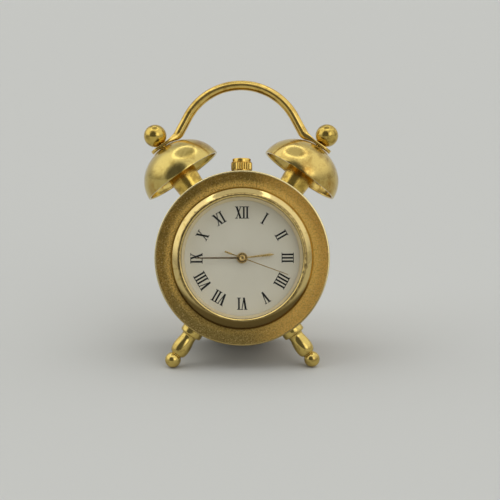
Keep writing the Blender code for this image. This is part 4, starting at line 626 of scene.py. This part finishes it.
def make_case():
    dish = []
    for step in range(DISH_STEPS + 1):
        share = step / DISH_STEPS
        depth = DISH_DEPTH + (DISH_EDGE_DEPTH - DISH_DEPTH) * share
        depth += DISH_SAG * math.sin(math.pi * share)
        dish.append((DISH_INNER + (DISH_OUTER - DISH_INNER) * share, depth))
    profile = [(FRONT_BORE, WEB_BACK), (FRONT_BORE, DISH_DEPTH), (BEZEL_SEAT, DISH_DEPTH), *dish]
    profile += [(DISH_OUTER + LIP_STEP, LIP_STEP)]
    profile += arc((FLANGE - LIP_ROUNDING, LIP_ROUNDING), (LIP_ROUNDING, LIP_ROUNDING), -math.pi / 2, 0, 6)
    profile += [(FLANGE, FLANGE_BACK - FLANGE_CHAMFER), (FLANGE - FLANGE_CHAMFER, FLANGE_BACK)]
    profile += [(DRUM, FLANGE_BACK)]
    middle = (DRUM - BACK_ROUNDING, CASE_DEPTH - BACK_ROUNDING)
    profile += arc(middle, (BACK_ROUNDING, BACK_ROUNDING), 0, math.pi / 2, 8)
    profile += [(REBATE_RADIUS + REBATE_CHAMFER, CASE_DEPTH), (REBATE_RADIUS, CASE_DEPTH - REBATE_CHAMFER)]
    profile += [(REBATE_RADIUS, REBATE_FLOOR), (DRUM_INSIDE, REBATE_FLOOR), (DRUM_INSIDE, WEB_BACK)]
    body = turned(profile, CASE_STEPS, closed=True)
    metal = sanded("case_sanded")
    shell = add_piece("case_shell", body, metal, axial(), "case", ["case_drum"])
    cut_with(shell, slab(circle(STEM_HOLE, STEM_HOLE_STEPS), *STEM_HOLE_REACH), radial(0, CROWN_DEPTH))


# Section of the bezel in millimetres: its seat, the depth of its crest, and its lip beside the glass
BEZEL_BASE = ((15.85, 2.35), (15.85, 1.2), (17.22, 1.2), (17.28, 1.14))
BEZEL_CREST = -1.19
BEZEL_LIP = (
    (15.05, -1.175), (15.02, -1.1), (15.0, -0.98), (14.98, -0.83), (14.93, -0.8), (14.86, -0.77),
    (14.79, -0.71), (14.73, -0.62), (14.7, -0.5), (14.7, 0.4), (14.62, 0.4), (14.02, 2.35),
)
# How many degrees the roll leans outward at a radius: quickly more beside its crest, then slowly
ROLL_LEAN = (
    (15.08, 0), (15.2, 12), (15.35, 25), (15.5, 30), (15.8, 34), (16.2, 38), (16.7, 43), (16.9, 45.5),
    (17.05, 56), (17.2, 72), (17.31, 82),
)
ROLL_PARTS = 3


def bezel_roll():
    """Section of the roll from its crest outward, built up from its lean."""
    height = BEZEL_CREST
    points = [(ROLL_LEAN[0][0], height)]
    for (near, first), (far, last) in zip(ROLL_LEAN, ROLL_LEAN[1:]):
        step = (far - near) / ROLL_PARTS
        for part in range(ROLL_PARTS):
            lean = first + (last - first) * (part + 0.5) / ROLL_PARTS
            height += math.tan(math.radians(lean)) * step
            points.append((near + step * (part + 1), height))
    return points


def make_bezel():
    profile = in_mm((*BEZEL_BASE, *bezel_roll()[::-1], *BEZEL_LIP))
    body = turned(profile, CASE_STEPS, closed=True)
    metal = bezel_metal("bezel_polished")
    add_piece("bezel_ring", body, metal, axial(), "case", ["bezel"])


# Radius and depth of the crystal's section, in millimetres
CRYSTAL_PROFILE = ((0, -0.6), (14.45, -0.6), (14.58, -0.5), (14.58, 0.3), (0, 0.3))


def make_crystal():
    body = turned(in_mm(CRYSTAL_PROFILE), CASE_STEPS)
    add_piece("crystal_disc", body, glass(), axial(), "case", ["crystal"])


# Dial

DIAL_RADIUS = 15.18 * MM
DIAL_HOLE = 1.15 * MM
DIAL_HOLE_STEPS = 32
DIAL_FRONT = 2.5 * MM
DIAL_BACK = 2.8 * MM
# The print stands a hair before the dial's face
PRINT_FRONT = 2.475 * MM
PRINT_BACK = 2.502 * MM
PRINT_LAYER = 0.0004 * MM
NUMERAL_RADIUS = 11.07 * MM
NUMERAL_HEIGHT = 2.95 * MM
STROKE = 0.42 * MM
HAIRLINE = 0.19 * MM
# How much wider a slanting stroke is where it is cut level
SLANT = 1.15
SERIF = 0.18 * MM
I_SERIF_SHARE = 0.54
# How far the strokes of V and X stand in from the letter's sides, which is about half a serif's width
V_THICK_INSET = 0.4 * MM
V_THIN_INSET = 0.3 * MM
V_TIP_SHIFT = 0.04 * MM
X_THICK_INSET = 0.38 * MM
X_THIN_INSET = 0.34 * MM
X_THIN_SERIF = 0.32 * MM
LETTER_WIDTHS = {"I": 0.82 * MM, "V": 1.66 * MM, "X": 1.74 * MM}
NUMERALS = ("XII", "I", "II", "III", "IIII", "V", "VI", "VII", "VIII", "IX", "X", "XI")


def bar(x0, y0, x1, y1, width):
    """A stroke between two points, cut level at both ends."""
    half = width / 2
    return [(x0 - half, y0), (x0 + half, y0), (x1 + half, y1), (x1 - half, y1)]


def serif(x, y, half):
    """A flat bar across the end of a stroke, thick towards the letter's middle."""
    inside = y + math.copysign(SERIF, -y)
    return [(x - half, y), (x + half, y), (x + half, inside), (x - half, inside)]


def letter(kind, left):
    """Strokes of one letter, drawn from its left edge: one thick and one thin stroke, with serifs."""
    low, high = -NUMERAL_HEIGHT / 2, NUMERAL_HEIGHT / 2
    width = LETTER_WIDTHS[kind]
    middle, right = left + width / 2, left + width
    if kind == "I":
        strokes = [bar(middle, low, middle, high, STROKE)]
        half = width * I_SERIF_SHARE
        serifs = ((middle, low, half), (middle, high, half))
    elif kind == "V":
        thick, thin, tip = left + V_THICK_INSET, right - V_THIN_INSET, middle + V_TIP_SHIFT
        strokes = [bar(thick, high, tip, low, STROKE * SLANT), bar(thin, high, tip, low, HAIRLINE * SLANT)]
        serifs = ((thick, high, V_THICK_INSET), (thin, high, V_THIN_INSET))
    else:
        thick, thick_end = left + X_THICK_INSET, right - X_THICK_INSET
        thin, thin_end = right - X_THIN_INSET, left + X_THIN_INSET
        strokes = [
            bar(thick, high, thick_end, low, STROKE * SLANT),
            bar(thin, high, thin_end, low, HAIRLINE * SLANT),
        ]
        serifs = (
            (thick, high, X_THICK_INSET),
            (thin, high, X_THIN_SERIF),
            (thin_end, low, X_THIN_SERIF),
            (thick_end, low, X_THICK_INSET),
        )
    return strokes + [serif(*place) for place in serifs]


def on_dial(x, y, turn):
    """A numeral's own point in the dial's plan."""
    out = NUMERAL_RADIUS + y
    return out * math.sin(turn) + x * math.cos(turn), -out * math.cos(turn) + x * math.sin(turn)


def make_dial():
    plate = slab(circle(DIAL_RADIUS, CASE_STEPS), DIAL_FRONT, DIAL_BACK, circle(DIAL_HOLE, DIAL_HOLE_STEPS))
    add_piece("dial_plate", plate, dial_paint(), axial(), "case", ["dial"])
    print_mesh = bmesh.new()
    for hour, text in enumerate(NUMERALS):
        turn = math.radians(30 * hour)
        left = -sum(LETTER_WIDTHS[kind] for kind in text) / 2
        strokes = []
        for kind in text:
            strokes += letter(kind, left)
            left += LETTER_WIDTHS[kind]
        # Each stroke lies a hair higher than the last, so that strokes that cross don't flicker
        for layer, points in enumerate(strokes, 1):
            plan = [on_dial(x, y, turn) for x, y in points]
            depths = (PRINT_FRONT - layer * PRINT_LAYER, PRINT_BACK)
            loft(print_mesh, [[(*place, depth) for place in plan] for depth in depths])
    add_piece("dial_numerals", print_mesh, ink(), axial(), "case")


# Hands

HOUR_ANGLE = math.radians(83.7)
MINUTE_ANGLE = math.radians(270)
SECOND_ANGLE = math.radians(110.3)
# Depths of the hands' back faces
HOUR_BACK = 2.0 * MM
MINUTE_BACK = 1.5 * MM
SECOND_BACK = 1.0 * MM
HAND_THICKNESS = 0.14 * MM
SECOND_THICKNESS = 0.13 * MM
HAND_CROWNING = 0.05 * MM
# Share of a hand's width that its flat front takes
HAND_FLAT = 0.6
# Radii of each hub: disc, collar, bore
HOUR_HUB = (1.33 * MM, 1.15 * MM, 0.965 * MM)
MINUTE_HUB = (1.04 * MM, 0.9 * MM, 0.645 * MM)
# How far the faces of a hub's disc and collar stand before the hand's back
DISC_FRONT = 0.16 * MM
COLLAR_BACK = 0.15 * MM
COLLAR_FRONT = 0.26 * MM
# How far in and how far back a hub's front edge is eased
HUB_EDGE = (0.05 * MM, 0.04 * MM)
HUB_STEPS = 40
# Distance from the axis and half width along each hand, in millimetres. The seconds hand has a tail
HOUR_BLADE = ((1.2, 0.18), (2.5, 0.19), (5.4, 0.26), (6.6, 0.33), (7.3, 0.2), (7.78, 0.06))
MINUTE_BLADE = ((0.95, 0.22), (2.5, 0.21), (8.3, 0.17), (10.8, 0.12), (11.48, 0.06))
SECOND_BLADE = ((0.5, 0.13), (11.78, 0.08))
SECOND_TAIL = ((-0.5, 0.14), (-2.7, 0.14), (-2.8, 0.22), (-4.3, 0.23), (-4.48, 0.17))
# Radius and depth of the cap in the seconds hand's middle, in millimetres
SECOND_CAP = ((0, 0.55), (0.34, 0.55), (0.42, 0.5), (0.6, 0.5), (0.76, 0.72), (0.8, 1.0), (0, 1.0))
SECOND_CAP_ROUNDING = 0.1


def blade(bm, stations, back, thickness):
    """Strip towards twelve through (distance, half width) stations, its front face slightly crowned."""
    front = back - thickness
    side = front + HAND_CROWNING
    rings = []
    for distance, half in stations:
        flat = half * HAND_FLAT
        section = [(-half, back), (-half, side), (-flat, front), (flat, front), (half, side), (half, back)]
        rings.append([(x, -distance, z) for x, z in section])
    loft(bm, rings)


def hub(bm, outer, inner, low, high):
    """Flat ring whose outer edge is eased at its front."""
    profile = [(inner, high), (outer, high), (outer, low + HUB_EDGE[1]), (outer - HUB_EDGE[0], low)]
    profile += [(inner, low), (inner, high)]
    rings = []
    for radius, height in profile:
        rings.append([(radius * x, radius * y, height) for x, y in circle(1.0, HUB_STEPS)])
    walls(bm, [ring_of(bm, ring) for ring in rings])


def stepped_hub(bm, disc, collar, bore, back):
    """Hub of a hand: a disc about level with the blade, and a smaller collar on its front."""
    hub(bm, disc, bore, back - DISC_FRONT, back)
    hub(bm, collar, bore, back - COLLAR_FRONT, back - COLLAR_BACK)


def make_hour_hand():
    gilt = brass("hand_gilt", (0.66, 0.47, 0.19), (0.44, 0.3, 0.1), (0.24, 0.36), 1 * MM, 0.5)
    hand = bmesh.new()
    blade(hand, in_mm(HOUR_BLADE), HOUR_BACK, HAND_THICKNESS)
    stepped_hub(hand, *HOUR_HUB, HOUR_BACK)
    add_piece("hour_hand_gilt", hand, gilt, axial(HOUR_ANGLE), "hour_hand", ["hour_hand"])


def make_minute_hand():
    shaded = brass("hand_gilt_shaded", (0.22, 0.155, 0.07), (0.11, 0.08, 0.035), (0.2, 0.32), 1 * MM, 0.4)
    place = axial(MINUTE_ANGLE)
    hand = bmesh.new()
    blade(hand, in_mm(MINUTE_BLADE), MINUTE_BACK, HAND_THICKNESS)
    add_piece("minute_hand_blade", hand, shaded, place, "minute_hand", ["minute_hand"])
    # On the hub the same dark gilt is painted shade: a dark ring in the groove between the hour hand's hub
    # and the seconds cap
    middle = bmesh.new()
    stepped_hub(middle, *MINUTE_HUB, MINUTE_BACK)
    add_piece("minute_hand_hub", middle, shaded, place, "minute_hand")


def make_second_hand():
    thin = brass("hand_gilt_thin", (0.5, 0.35, 0.13), (0.36, 0.24, 0.08), (0.25, 0.36), 1 * MM, 0.4)
    bright = brass("hand_gilt_bright", (0.86, 0.6, 0.24), (0.6, 0.4, 0.14), (0.1, 0.18), 1 * MM, 0.4)
    place = axial(SECOND_ANGLE)
    hand = bmesh.new()
    blade(hand, in_mm(SECOND_BLADE), SECOND_BACK, SECOND_THICKNESS)
    blade(hand, in_mm(SECOND_TAIL), SECOND_BACK, SECOND_THICKNESS)
    add_piece("second_hand_gilt", hand, thin, place, "second_hand", ["second_hand"])
    cap = bmesh.new()
    rings = []
    for radius, height in in_mm(rounded(SECOND_CAP, SECOND_CAP_ROUNDING, 3)[1:-1]):
        rings.append([(radius * x, radius * y, height) for x, y in circle(1.0, HUB_STEPS)])
    loft(cap, rings)
    add_piece("second_hand_cap", cap, bright, place, "second_hand")


# Bells, posts, knobs

BELL_ANGLE = math.radians(34.8)
BELL_DEPTH = 12.5 * MM
BELL_RIM = 25.6 * MM
BELL_STEPS = 96
POST_STEPS = 64
KNOB_STEPS = 56
# Half width and height of the dome, outside and inside, and how far up its curve ends at the stud hole
BELL_OUTSIDE = (10.36 * MM, 8.75 * MM)
BELL_OUTSIDE_END = math.radians(84.5)
BELL_INSIDE = (9.8 * MM, 8.15 * MM)
BELL_INSIDE_END = math.radians(84.2)
BELL_START = math.radians(3)
# Radius and height over the rim's plane along the lip, in millimetres, from outside to inside
BELL_LIP = ((10.365, 0.16), (10.34, 0.01), (9.86, 0.01), (9.79, 0.14))
BELL_LOOKS = {
    "left": {
        "bright": (0.62, 0.48, 0.15),
        "dark": (0.4, 0.29, 0.075),
        "rough": (0.11, 0.2),
        "cloud": 3.6 * MM,
        "amount": 0.5,
        "wave": 0.035 * MM,
        "seed": 0.011,
        "pits": 0.008 * MM,
        "stains": (
            ((8.3 * MM, -4.3 * MM, 29.3 * MM), 5.0 * MM),
            ((-7.5 * MM, -6.0 * MM, 26.2 * MM), 3.5 * MM),
        ),
    },
    "right": {
        "bright": (0.67, 0.5, 0.155),
        "dark": (0.42, 0.28, 0.07),
        "rough": (0.1, 0.22),
        "cloud": 3.2 * MM,
        "amount": 0.55,
        "wave": 0.05 * MM,
        "seed": 0.047,
        "pits": 0.01 * MM,
        "stains": (
            ((0.5 * MM, -10.0 * MM, 26.6 * MM), 3.0 * MM),
            ((7.5 * MM, -6.5 * MM, 26.5 * MM), 4.0 * MM),
        ),
    },
}


def make_bells():
    profile = arc((0, BELL_RIM), BELL_OUTSIDE, BELL_OUTSIDE_END, BELL_START, 28)
    profile += [(radius, BELL_RIM + height) for radius, height in in_mm(BELL_LIP)]
    profile += arc((0, BELL_RIM), BELL_INSIDE, BELL_START, BELL_INSIDE_END, 20)
    for side, sign in SIDES:
        body = turned(profile, BELL_STEPS, closed=True)
        place = radial(sign * BELL_ANGLE, BELL_DEPTH)
        metal = brass("bell_brass_" + side, matrix=place, **BELL_LOOKS[side])
        add_piece("bell_shell_" + side, body, metal, place, "case", ["bell_" + side])


# Radius on which posts and feet stand, a hair off the drum
SADDLE = DRUM + 0.06 * MM


def saddle(bm):
    """Sets the lowest ring of a piece that stands on the drum onto it. The drum runs along local Y."""
    low = min(vert.co.z for vert in bm.verts)
    for vert in bm.verts:
        if vert.co.z < low + 0.01 * MM:
            vert.co.z = math.sqrt(SADDLE**2 - vert.co.x**2)


# Radius and distance from the case axis, in millimetres: wide shaft, shoulder and the core inside the bell
POST_PROFILE = (
    (0, 20.0), (3.45, 20.0), (3.46, 21.5), (3.78, 26.4), (3.76, 26.62), (3.62, 26.76), (3.5, 26.8),
    (2.45, 26.8), (2.3, 26.9), (2.3, 33.0), (2.2, 33.15), (0, 33.15),
)


def make_posts():
    for side, sign in SIDES:
        place = radial(sign * BELL_ANGLE, BELL_DEPTH)
        bm = turned(in_mm(POST_PROFILE), POST_STEPS)
        saddle(bm)
        metal = brass(
            "post_brass_" + side,
            bright=(0.74, 0.51, 0.11),
            dark=(0.38, 0.25, 0.05),
            rough=(0.13, 0.24),
            cloud=2.0 * MM,
            amount=0.6,
            matrix=place,
            wave=0.03 * MM,
            marks=0.09 * MM,
        )
        add_piece("post_turned_" + side, bm, metal, place, "case", ["bell_post_" + side])


KNOB_RADIUS = 2.865 * MM
KNOB_SEAT = 35.35 * MM
KNOB_SEAT_RADIUS = 1.1 * MM
KNOB_SEAT_RISE = 0.02 * MM
KNOB_STUD_RADIUS = 0.9 * MM
KNOB_STUD_END = 30.8 * MM


def make_knobs():
    centre = KNOB_SEAT + math.sqrt(KNOB_RADIUS**2 - KNOB_SEAT_RADIUS**2)
    start = math.atan2(KNOB_SEAT - centre, KNOB_SEAT_RADIUS)
    profile = [(0, KNOB_STUD_END), (KNOB_STUD_RADIUS, KNOB_STUD_END), (KNOB_STUD_RADIUS, KNOB_SEAT)]
    profile += [(KNOB_SEAT_RADIUS, KNOB_SEAT + KNOB_SEAT_RISE)]
    profile += arc((0, centre), (KNOB_RADIUS, KNOB_RADIUS), start, math.pi / 2, 26)[1:-1]
    profile += [(0, centre + KNOB_RADIUS)]
    for side, sign in SIDES:
        place = radial(sign * BELL_ANGLE, BELL_DEPTH)
        metal = brass(
            "knob_brass_" + side,
            bright=(0.64, 0.46, 0.11),
            dark=(0.3, 0.2, 0.045),
            rough=(0.1, 0.19),
            cloud=1.8 * MM,
            amount=0.55,
            matrix=place,
            wave=0.03 * MM,
            marks=0.12 * MM,
            seed=0.02 * (sign + 2),
        )
        body = turned(profile, KNOB_STEPS)
        add_piece("knob_ball_" + side, body, metal, place, "case", ["knob_" + side])


# Handle

WIRE_RADIUS = 1.235 * MM
WIRE_SIDES = 28
TAB_DISTANCE = 34.85 * MM
TAB_HALF_THICKNESS = 0.39 * MM
TAB_HALF_WIDTH = 1.9 * MM
TAB_OVERHANG = 3.1 * MM
TAB_FLAT = 1.6 * MM
# Share of the tab's width that is left at its very end
TAB_END_SHARE = 0.16
# Exponents of the section's superellipse: a tab is nearly square and a wire round
TAB_SQUARENESS = 6.0
WIRE_SQUARENESS = 2.0
ARCH_RADIUS = 15.3 * MM
ARCH_HEIGHT = 28.7 * MM
ARCH_SWEEP = math.radians(62)
BEND_RADIUS = 3.2 * MM
TAB_STEPS = 9
LEG_STEPS = 12
BEND_STEPS = 16
ARCH_STEPS = 40


def way(angle):
    return Vector((math.cos(angle), math.sin(angle)))


def on_arch(angle):
    """Point of the arch at an angle from its top."""
    return Vector((math.sin(angle), math.cos(angle))) * ARCH_RADIUS + Vector((0, ARCH_HEIGHT))


def handle_half():
    """Stations (x, z, direction, half thickness, half width, squareness) from the tab's end to the top."""
    tab_angle = math.pi - BELL_ANGLE
    leg_angle = math.pi - ARCH_SWEEP
    tab = Vector((math.sin(BELL_ANGLE), math.cos(BELL_ANGLE))) * TAB_DISTANCE
    tab_way, leg_way = way(tab_angle), way(leg_angle)
    spread = on_arch(ARCH_SWEEP) - tab
    reach = (spread.x * leg_way.y - spread.y * leg_way.x) / (tab_way.x * leg_way.y - tab_way.y * leg_way.x)
    bend = tab_angle - leg_angle
    tangent = BEND_RADIUS * math.tan(bend / 2)
    stations = []

    def add(point, angle, share=0.0, width=TAB_HALF_WIDTH):
        growth = share * share * (3 - 2 * share)
        thin = TAB_HALF_THICKNESS + (WIRE_RADIUS - TAB_HALF_THICKNESS) * growth
        wide = width + (WIRE_RADIUS - width) * growth
        squareness = TAB_SQUARENESS + (WIRE_SQUARENESS - TAB_SQUARENESS) * growth
        stations.append((point.x, point.y, angle, thin, wide, squareness))

    for step in range(TAB_STEPS + 1):
        turn = math.pi / 2 * step / TAB_STEPS
        back = TAB_OVERHANG - TAB_HALF_WIDTH * (1 - math.cos(turn))
        add(tab - tab_way * back, tab_angle, 0.0, TAB_HALF_WIDTH * max(math.sin(turn), TAB_END_SHARE))
    # Past its flat seat the tab grows into round wire, up to the end of the bend
    straight = reach - tangent - TAB_FLAT
    growing = straight + BEND_RADIUS * bend
    for step in range(LEG_STEPS):
        travel = straight * step / LEG_STEPS
        add(tab + tab_way * (TAB_FLAT + travel), tab_angle, travel / growing)
    centre = tab + tab_way * (reach - tangent) + way(tab_angle - math.pi / 2) * BEND_RADIUS
    for step in range(BEND_STEPS + 1):
        turned_by = bend * step / BEND_STEPS
        angle = tab_angle - turned_by
        point = centre + way(angle + math.pi / 2) * BEND_RADIUS
        add(point, angle, (straight + BEND_RADIUS * turned_by) / growing)
    for step in range(1, ARCH_STEPS + 1):
        angle = ARCH_SWEEP * (1 - step / ARCH_STEPS)
        add(on_arch(angle), math.pi - angle, 1.0)
    return stations


def make_handle():
    right = handle_half()
    left = [(-x, z, math.tau - angle, thin, wide, power) for x, z, angle, thin, wide, power in right[-2::-1]]
    rings = []
    for x, z, angle, thin, wide, power in right + left:
        ring = []
        for side in range(WIRE_SIDES):
            turn = math.tau * (side + 0.5) / WIRE_SIDES
            across, along = math.cos(turn), math.sin(turn)
            off = math.copysign(abs(across) ** (2 / power), across) * thin
            depth = math.copysign(abs(along) ** (2 / power), along) * wide
            ring.append((x - off * math.sin(angle), depth, z + off * math.cos(angle)))
        rings.append(ring)
    bm = bmesh.new()
    loft(bm, rings)
    metal = brass("handle_brass", (0.73, 0.51, 0.14), (0.44, 0.28, 0.055), (0.11, 0.2), 2.5 * MM, 0.5)
    place = CLOCK @ Matrix.Translation((0, BELL_DEPTH, 0))
    add_piece("handle_wire", bm, metal, place, "case", ["handle"], sharp_angle=45)


# Feet

FOOT_ANGLE = math.radians(145.5)
FOOT_DEPTH = 4.2 * MM
# Radius and distance from the case axis, in millimetres, down the foot
FOOT_COLLAR = ((0, 20.0), (2.7, 20.0), (2.74, 21.6))
FOOT_COLLAR_EDGE = (2.24, 22.1)
FOOT_COLLAR_ROUNDING = (0.5, 0.5)
FOOT_GROOVE = ((1.98, 22.66), (1.86, 22.85), (1.84, 23.1))
FOOT_STEM = (1.84, 23.5)
FOOT_BELLY = (2.19, 26.3)
FOOT_NECK = (1.36, 28.25)
FOOT_BALL = (1.93, 29.84)
# Radius at which the ball begins under the neck
FOOT_WAIST = 1.3
FOOT_STEM_STEPS = 8
FOOT_STEPS = 56


def foot_profile():
    """Section of a foot in millimetres: collar, groove, a stem that swells to a belly, neck and ball."""
    edge = arc(FOOT_COLLAR_EDGE, FOOT_COLLAR_ROUNDING, 0, math.pi / 2, 6)[1:]
    profile = [*FOOT_COLLAR, *edge, *FOOT_GROOVE, FOOT_STEM]
    swell, length = FOOT_BELLY[0] - FOOT_STEM[0], FOOT_BELLY[1] - FOOT_STEM[1]
    for step in range(1, FOOT_STEM_STEPS + 1):
        share = step / FOOT_STEM_STEPS
        radius = FOOT_STEM[0] + swell * math.sin(share * math.pi / 2)
        profile.append((radius, FOOT_STEM[1] + length * share))
    taper = (FOOT_BELLY[0] - FOOT_NECK[0], FOOT_NECK[1] - FOOT_BELLY[1])
    profile += arc((FOOT_NECK[0], FOOT_BELLY[1]), taper, 0, math.pi / 2, 12)[1:]
    radius, middle = FOOT_BALL
    start = math.asin(FOOT_WAIST / radius) - math.pi / 2
    profile += arc((0, middle), (radius, radius), start, math.pi / 2, 18)[:-1]
    profile += [(0, middle + radius)]
    return profile


def make_feet():
    for side, sign in SIDES:
        place = radial(sign * FOOT_ANGLE, FOOT_DEPTH)
        bm = turned(in_mm(foot_profile()), FOOT_STEPS)
        saddle(bm)
        metal = brass(
            "foot_brass_" + side,
            bright=(0.66, 0.49, 0.14),
            dark=(0.4, 0.28, 0.08),
            rough=(0.09, 0.16),
            cloud=2 * MM,
            amount=0.5,
            matrix=place,
            wave=0.05 * MM,
            marks=0.2 * MM,
            seed=0.03 * (sign + 3),
        )
        add_piece("foot_turned_" + side, bm, metal, place, "case", ["foot_" + side])


# Crown and back

CROWN_BASE = 21.3 * MM
FLUTES = 26
FLUTE_STEPS = 10
# Depth of a flute in millimetres, and how much narrower than a wave it is
FLUTE_DEPTH = 0.2
FLUTE_SHARPNESS = 2.2
# Height and radius in millimetres, and whether the ring is fluted
CROWN_PROFILE = (
    (0.0, 2.4, 0), (0.06, 2.5, 0), (0.2, 2.5, 0), (0.24, 2.42, 0), (0.3, 2.57, 1), (0.8, 2.58, 1),
    (1.4, 2.58, 1), (1.9, 2.57, 1), (1.98, 2.42, 0), (2.04, 2.5, 0), (2.16, 2.49, 0), (2.26, 2.36, 0),
    (2.3, 2.24, 0), (2.89, 2.23, 0), (2.99, 2.18, 0), (3.04, 2.08, 0), (3.04, 1.7, 0), (2.99, 1.5, 0),
)


def make_crown():
    """Fluted skirt between a base rim and a plain shoulder, under a smaller top disc."""
    steps = FLUTES * FLUTE_STEPS
    rings = []
    for height, radius, fluted in CROWN_PROFILE:
        ring = []
        for step in range(steps):
            angle = math.tau * step / steps
            wave = math.cos(math.tau * (step % FLUTE_STEPS) / FLUTE_STEPS)
            groove = (0.5 - 0.5 * wave) ** FLUTE_SHARPNESS
            reach = (radius - fluted * FLUTE_DEPTH * groove) * MM
            ring.append((reach * math.cos(angle), reach * math.sin(angle), CROWN_BASE + height * MM))
        rings.append(ring)
    bm = bmesh.new()
    loft(bm, rings)
    metal = brass("crown_brass", (0.76, 0.52, 0.13), (0.5, 0.33, 0.07), (0.12, 0.2), 1.5 * MM, 0.4)
    place = radial(0, CROWN_DEPTH)
    add_piece("crown_fluted", bm, metal, place, "crown", ["crown"], sharp_angle=30)


# Radius and depth in millimetres: skirt, outer edge and a groove round the flat back
COVER_PROFILE = (
    (0, 25.3), (17.4, 25.3), (17.4, 22.7), (18.5, 22.7), (18.5, 25.3), (19.28, 25.3), (19.28, 26.2),
    (19.1, 26.38), (17.6, 26.4), (17.42, 26.3), (17.1, 26.3), (16.9, 26.4), (0, 26.4),
)
# Notch under the cover's edge, to pry it off
NOTCH = ((18.7, -1.5), (20.0, -1.5), (20.0, 1.5), (18.7, 1.5))
NOTCH_FRONT = 25.2 * MM
NOTCH_BACK = 25.75 * MM


def make_back_cover():
    body = turned(in_mm(COVER_PROFILE), CASE_STEPS)
    metal = cover_metal("cover_satin")
    cover = add_piece("back_cover_disc", body, metal, axial(), "case", ["back_cover"])
    cut_with(cover, slab(in_mm(NOTCH), NOTCH_FRONT, NOTCH_BACK), axial())


# Studio

# Half the floor's side, in metres
FLOOR_REACH = 8.0
FLOOR_COLOUR = (0.6, 0.606, 0.585, 1.0)


def make_stage():
    near, far = -FLOOR_REACH, FLOOR_REACH
    mesh = bpy.data.meshes.new("floor")
    mesh.from_pydata([(near, near, 0), (far, near, 0), (far, far, 0), (near, far, 0)], [], [(0, 1, 2, 3)])
    floor = bpy.data.objects.new("floor", mesh)
    bpy.context.collection.objects.link(floor)
    g = Graph("floor_pale")
    g.set(Base_Color=FLOOR_COLOUR, Roughness=0.8, Specular_IOR_Level=0.1)
    mesh.materials.append(g.material)


# Levels of the walls low down and higher up, and how steeply up one looks where they change
WALL_LOW = 0.45
WALL_HIGH = 1.05
WALL_RISE = (0.0, 0.5)
# The round lamp overhead: its direction, its level and the level of its middle
LAMP_AIM = (-0.048, 0.083, 0.995)
LAMP_LEVEL = 2.2
LAMP_MIDDLE = 0.65
# Direction, inner and outer radius in degrees, level: wall behind, window on the left, lamp, its middle,
# the dark shape of the one who looks, and a window in front on the right
WORLD_SPOTS = (
    ((0, 1, 0.27), 25, 65, 0.6),
    ((-0.77, 0, 0.64), 15, 40, 1.25),
    (LAMP_AIM, 26.5, 28.5, LAMP_LEVEL),
    (LAMP_AIM, 20.5, 22.5, LAMP_MIDDLE),
    ((-0.34, -0.86, 0.38), 24, 41, 0.13),
    ((0.47, -0.783, 0.407), 12, 18, 1.7),
)
# Share of blue in the light of the spots, which is a little warm
SPOT_BLUE = 0.98


def make_world():
    """A pale room, dimmer low down: a round lamp overhead, soft windows, a dim front that one looks from."""
    world = bpy.data.worlds.new("studio")
    bpy.context.scene.world = world
    tree = Tree(world)
    place = tree.nodes.new("ShaderNodeTexCoord").outputs["Generated"]
    height = tree.add("ShaderNodeSeparateXYZ", "Z", {"Vector": place})
    colour = tree.span(height, *WALL_RISE, WALL_LOW, WALL_HIGH)
    for aim, inner, outer, level in WORLD_SPOTS:
        ends = {0: place, 1: Vector(aim).normalized()}
        closeness = tree.add("ShaderNodeVectorMath", "Value", ends, operation="DOT_PRODUCT")
        spread = tree.span(closeness, math.cos(math.radians(outer)), math.cos(math.radians(inner)))
        colour = tree.blend(spread, colour, (level, level, level * SPOT_BLUE))
    tree.link(colour, tree.nodes["Background"].inputs["Color"])


CAMERA_PLACE = (-2.755 * MM, -272.09 * MM, 91.945 * MM)
CAMERA_PITCH = math.radians(76.3)
CAMERA_TURN = math.radians(-1.02)
CAMERA_LENS = 80.2


def make_camera():
    data = bpy.data.cameras.new("photo_camera")
    data.lens = CAMERA_LENS
    data.sensor_width = 36.0
    data.clip_start = 0.01
    data.clip_end = 50.0
    camera = bpy.data.objects.new("photo_camera", data)
    bpy.context.collection.objects.link(camera)
    camera.location = CAMERA_PLACE
    camera.rotation_euler = (CAMERA_PITCH, 0, CAMERA_TURN)
    bpy.context.scene.camera = camera


def main():
    dress_nodes()
    make_case()
    make_bezel()
    make_crystal()
    make_dial()
    make_hour_hand()
    make_minute_hand()
    make_second_hand()
    make_bells()
    make_posts()
    make_knobs()
    make_handle()
    make_feet()
    make_crown()
    make_back_cover()
    make_stage()
    make_world()
    make_camera()
    bpy.context.scene.view_settings.view_transform = "Standard"


main()
bpy.context.view_layer.update()
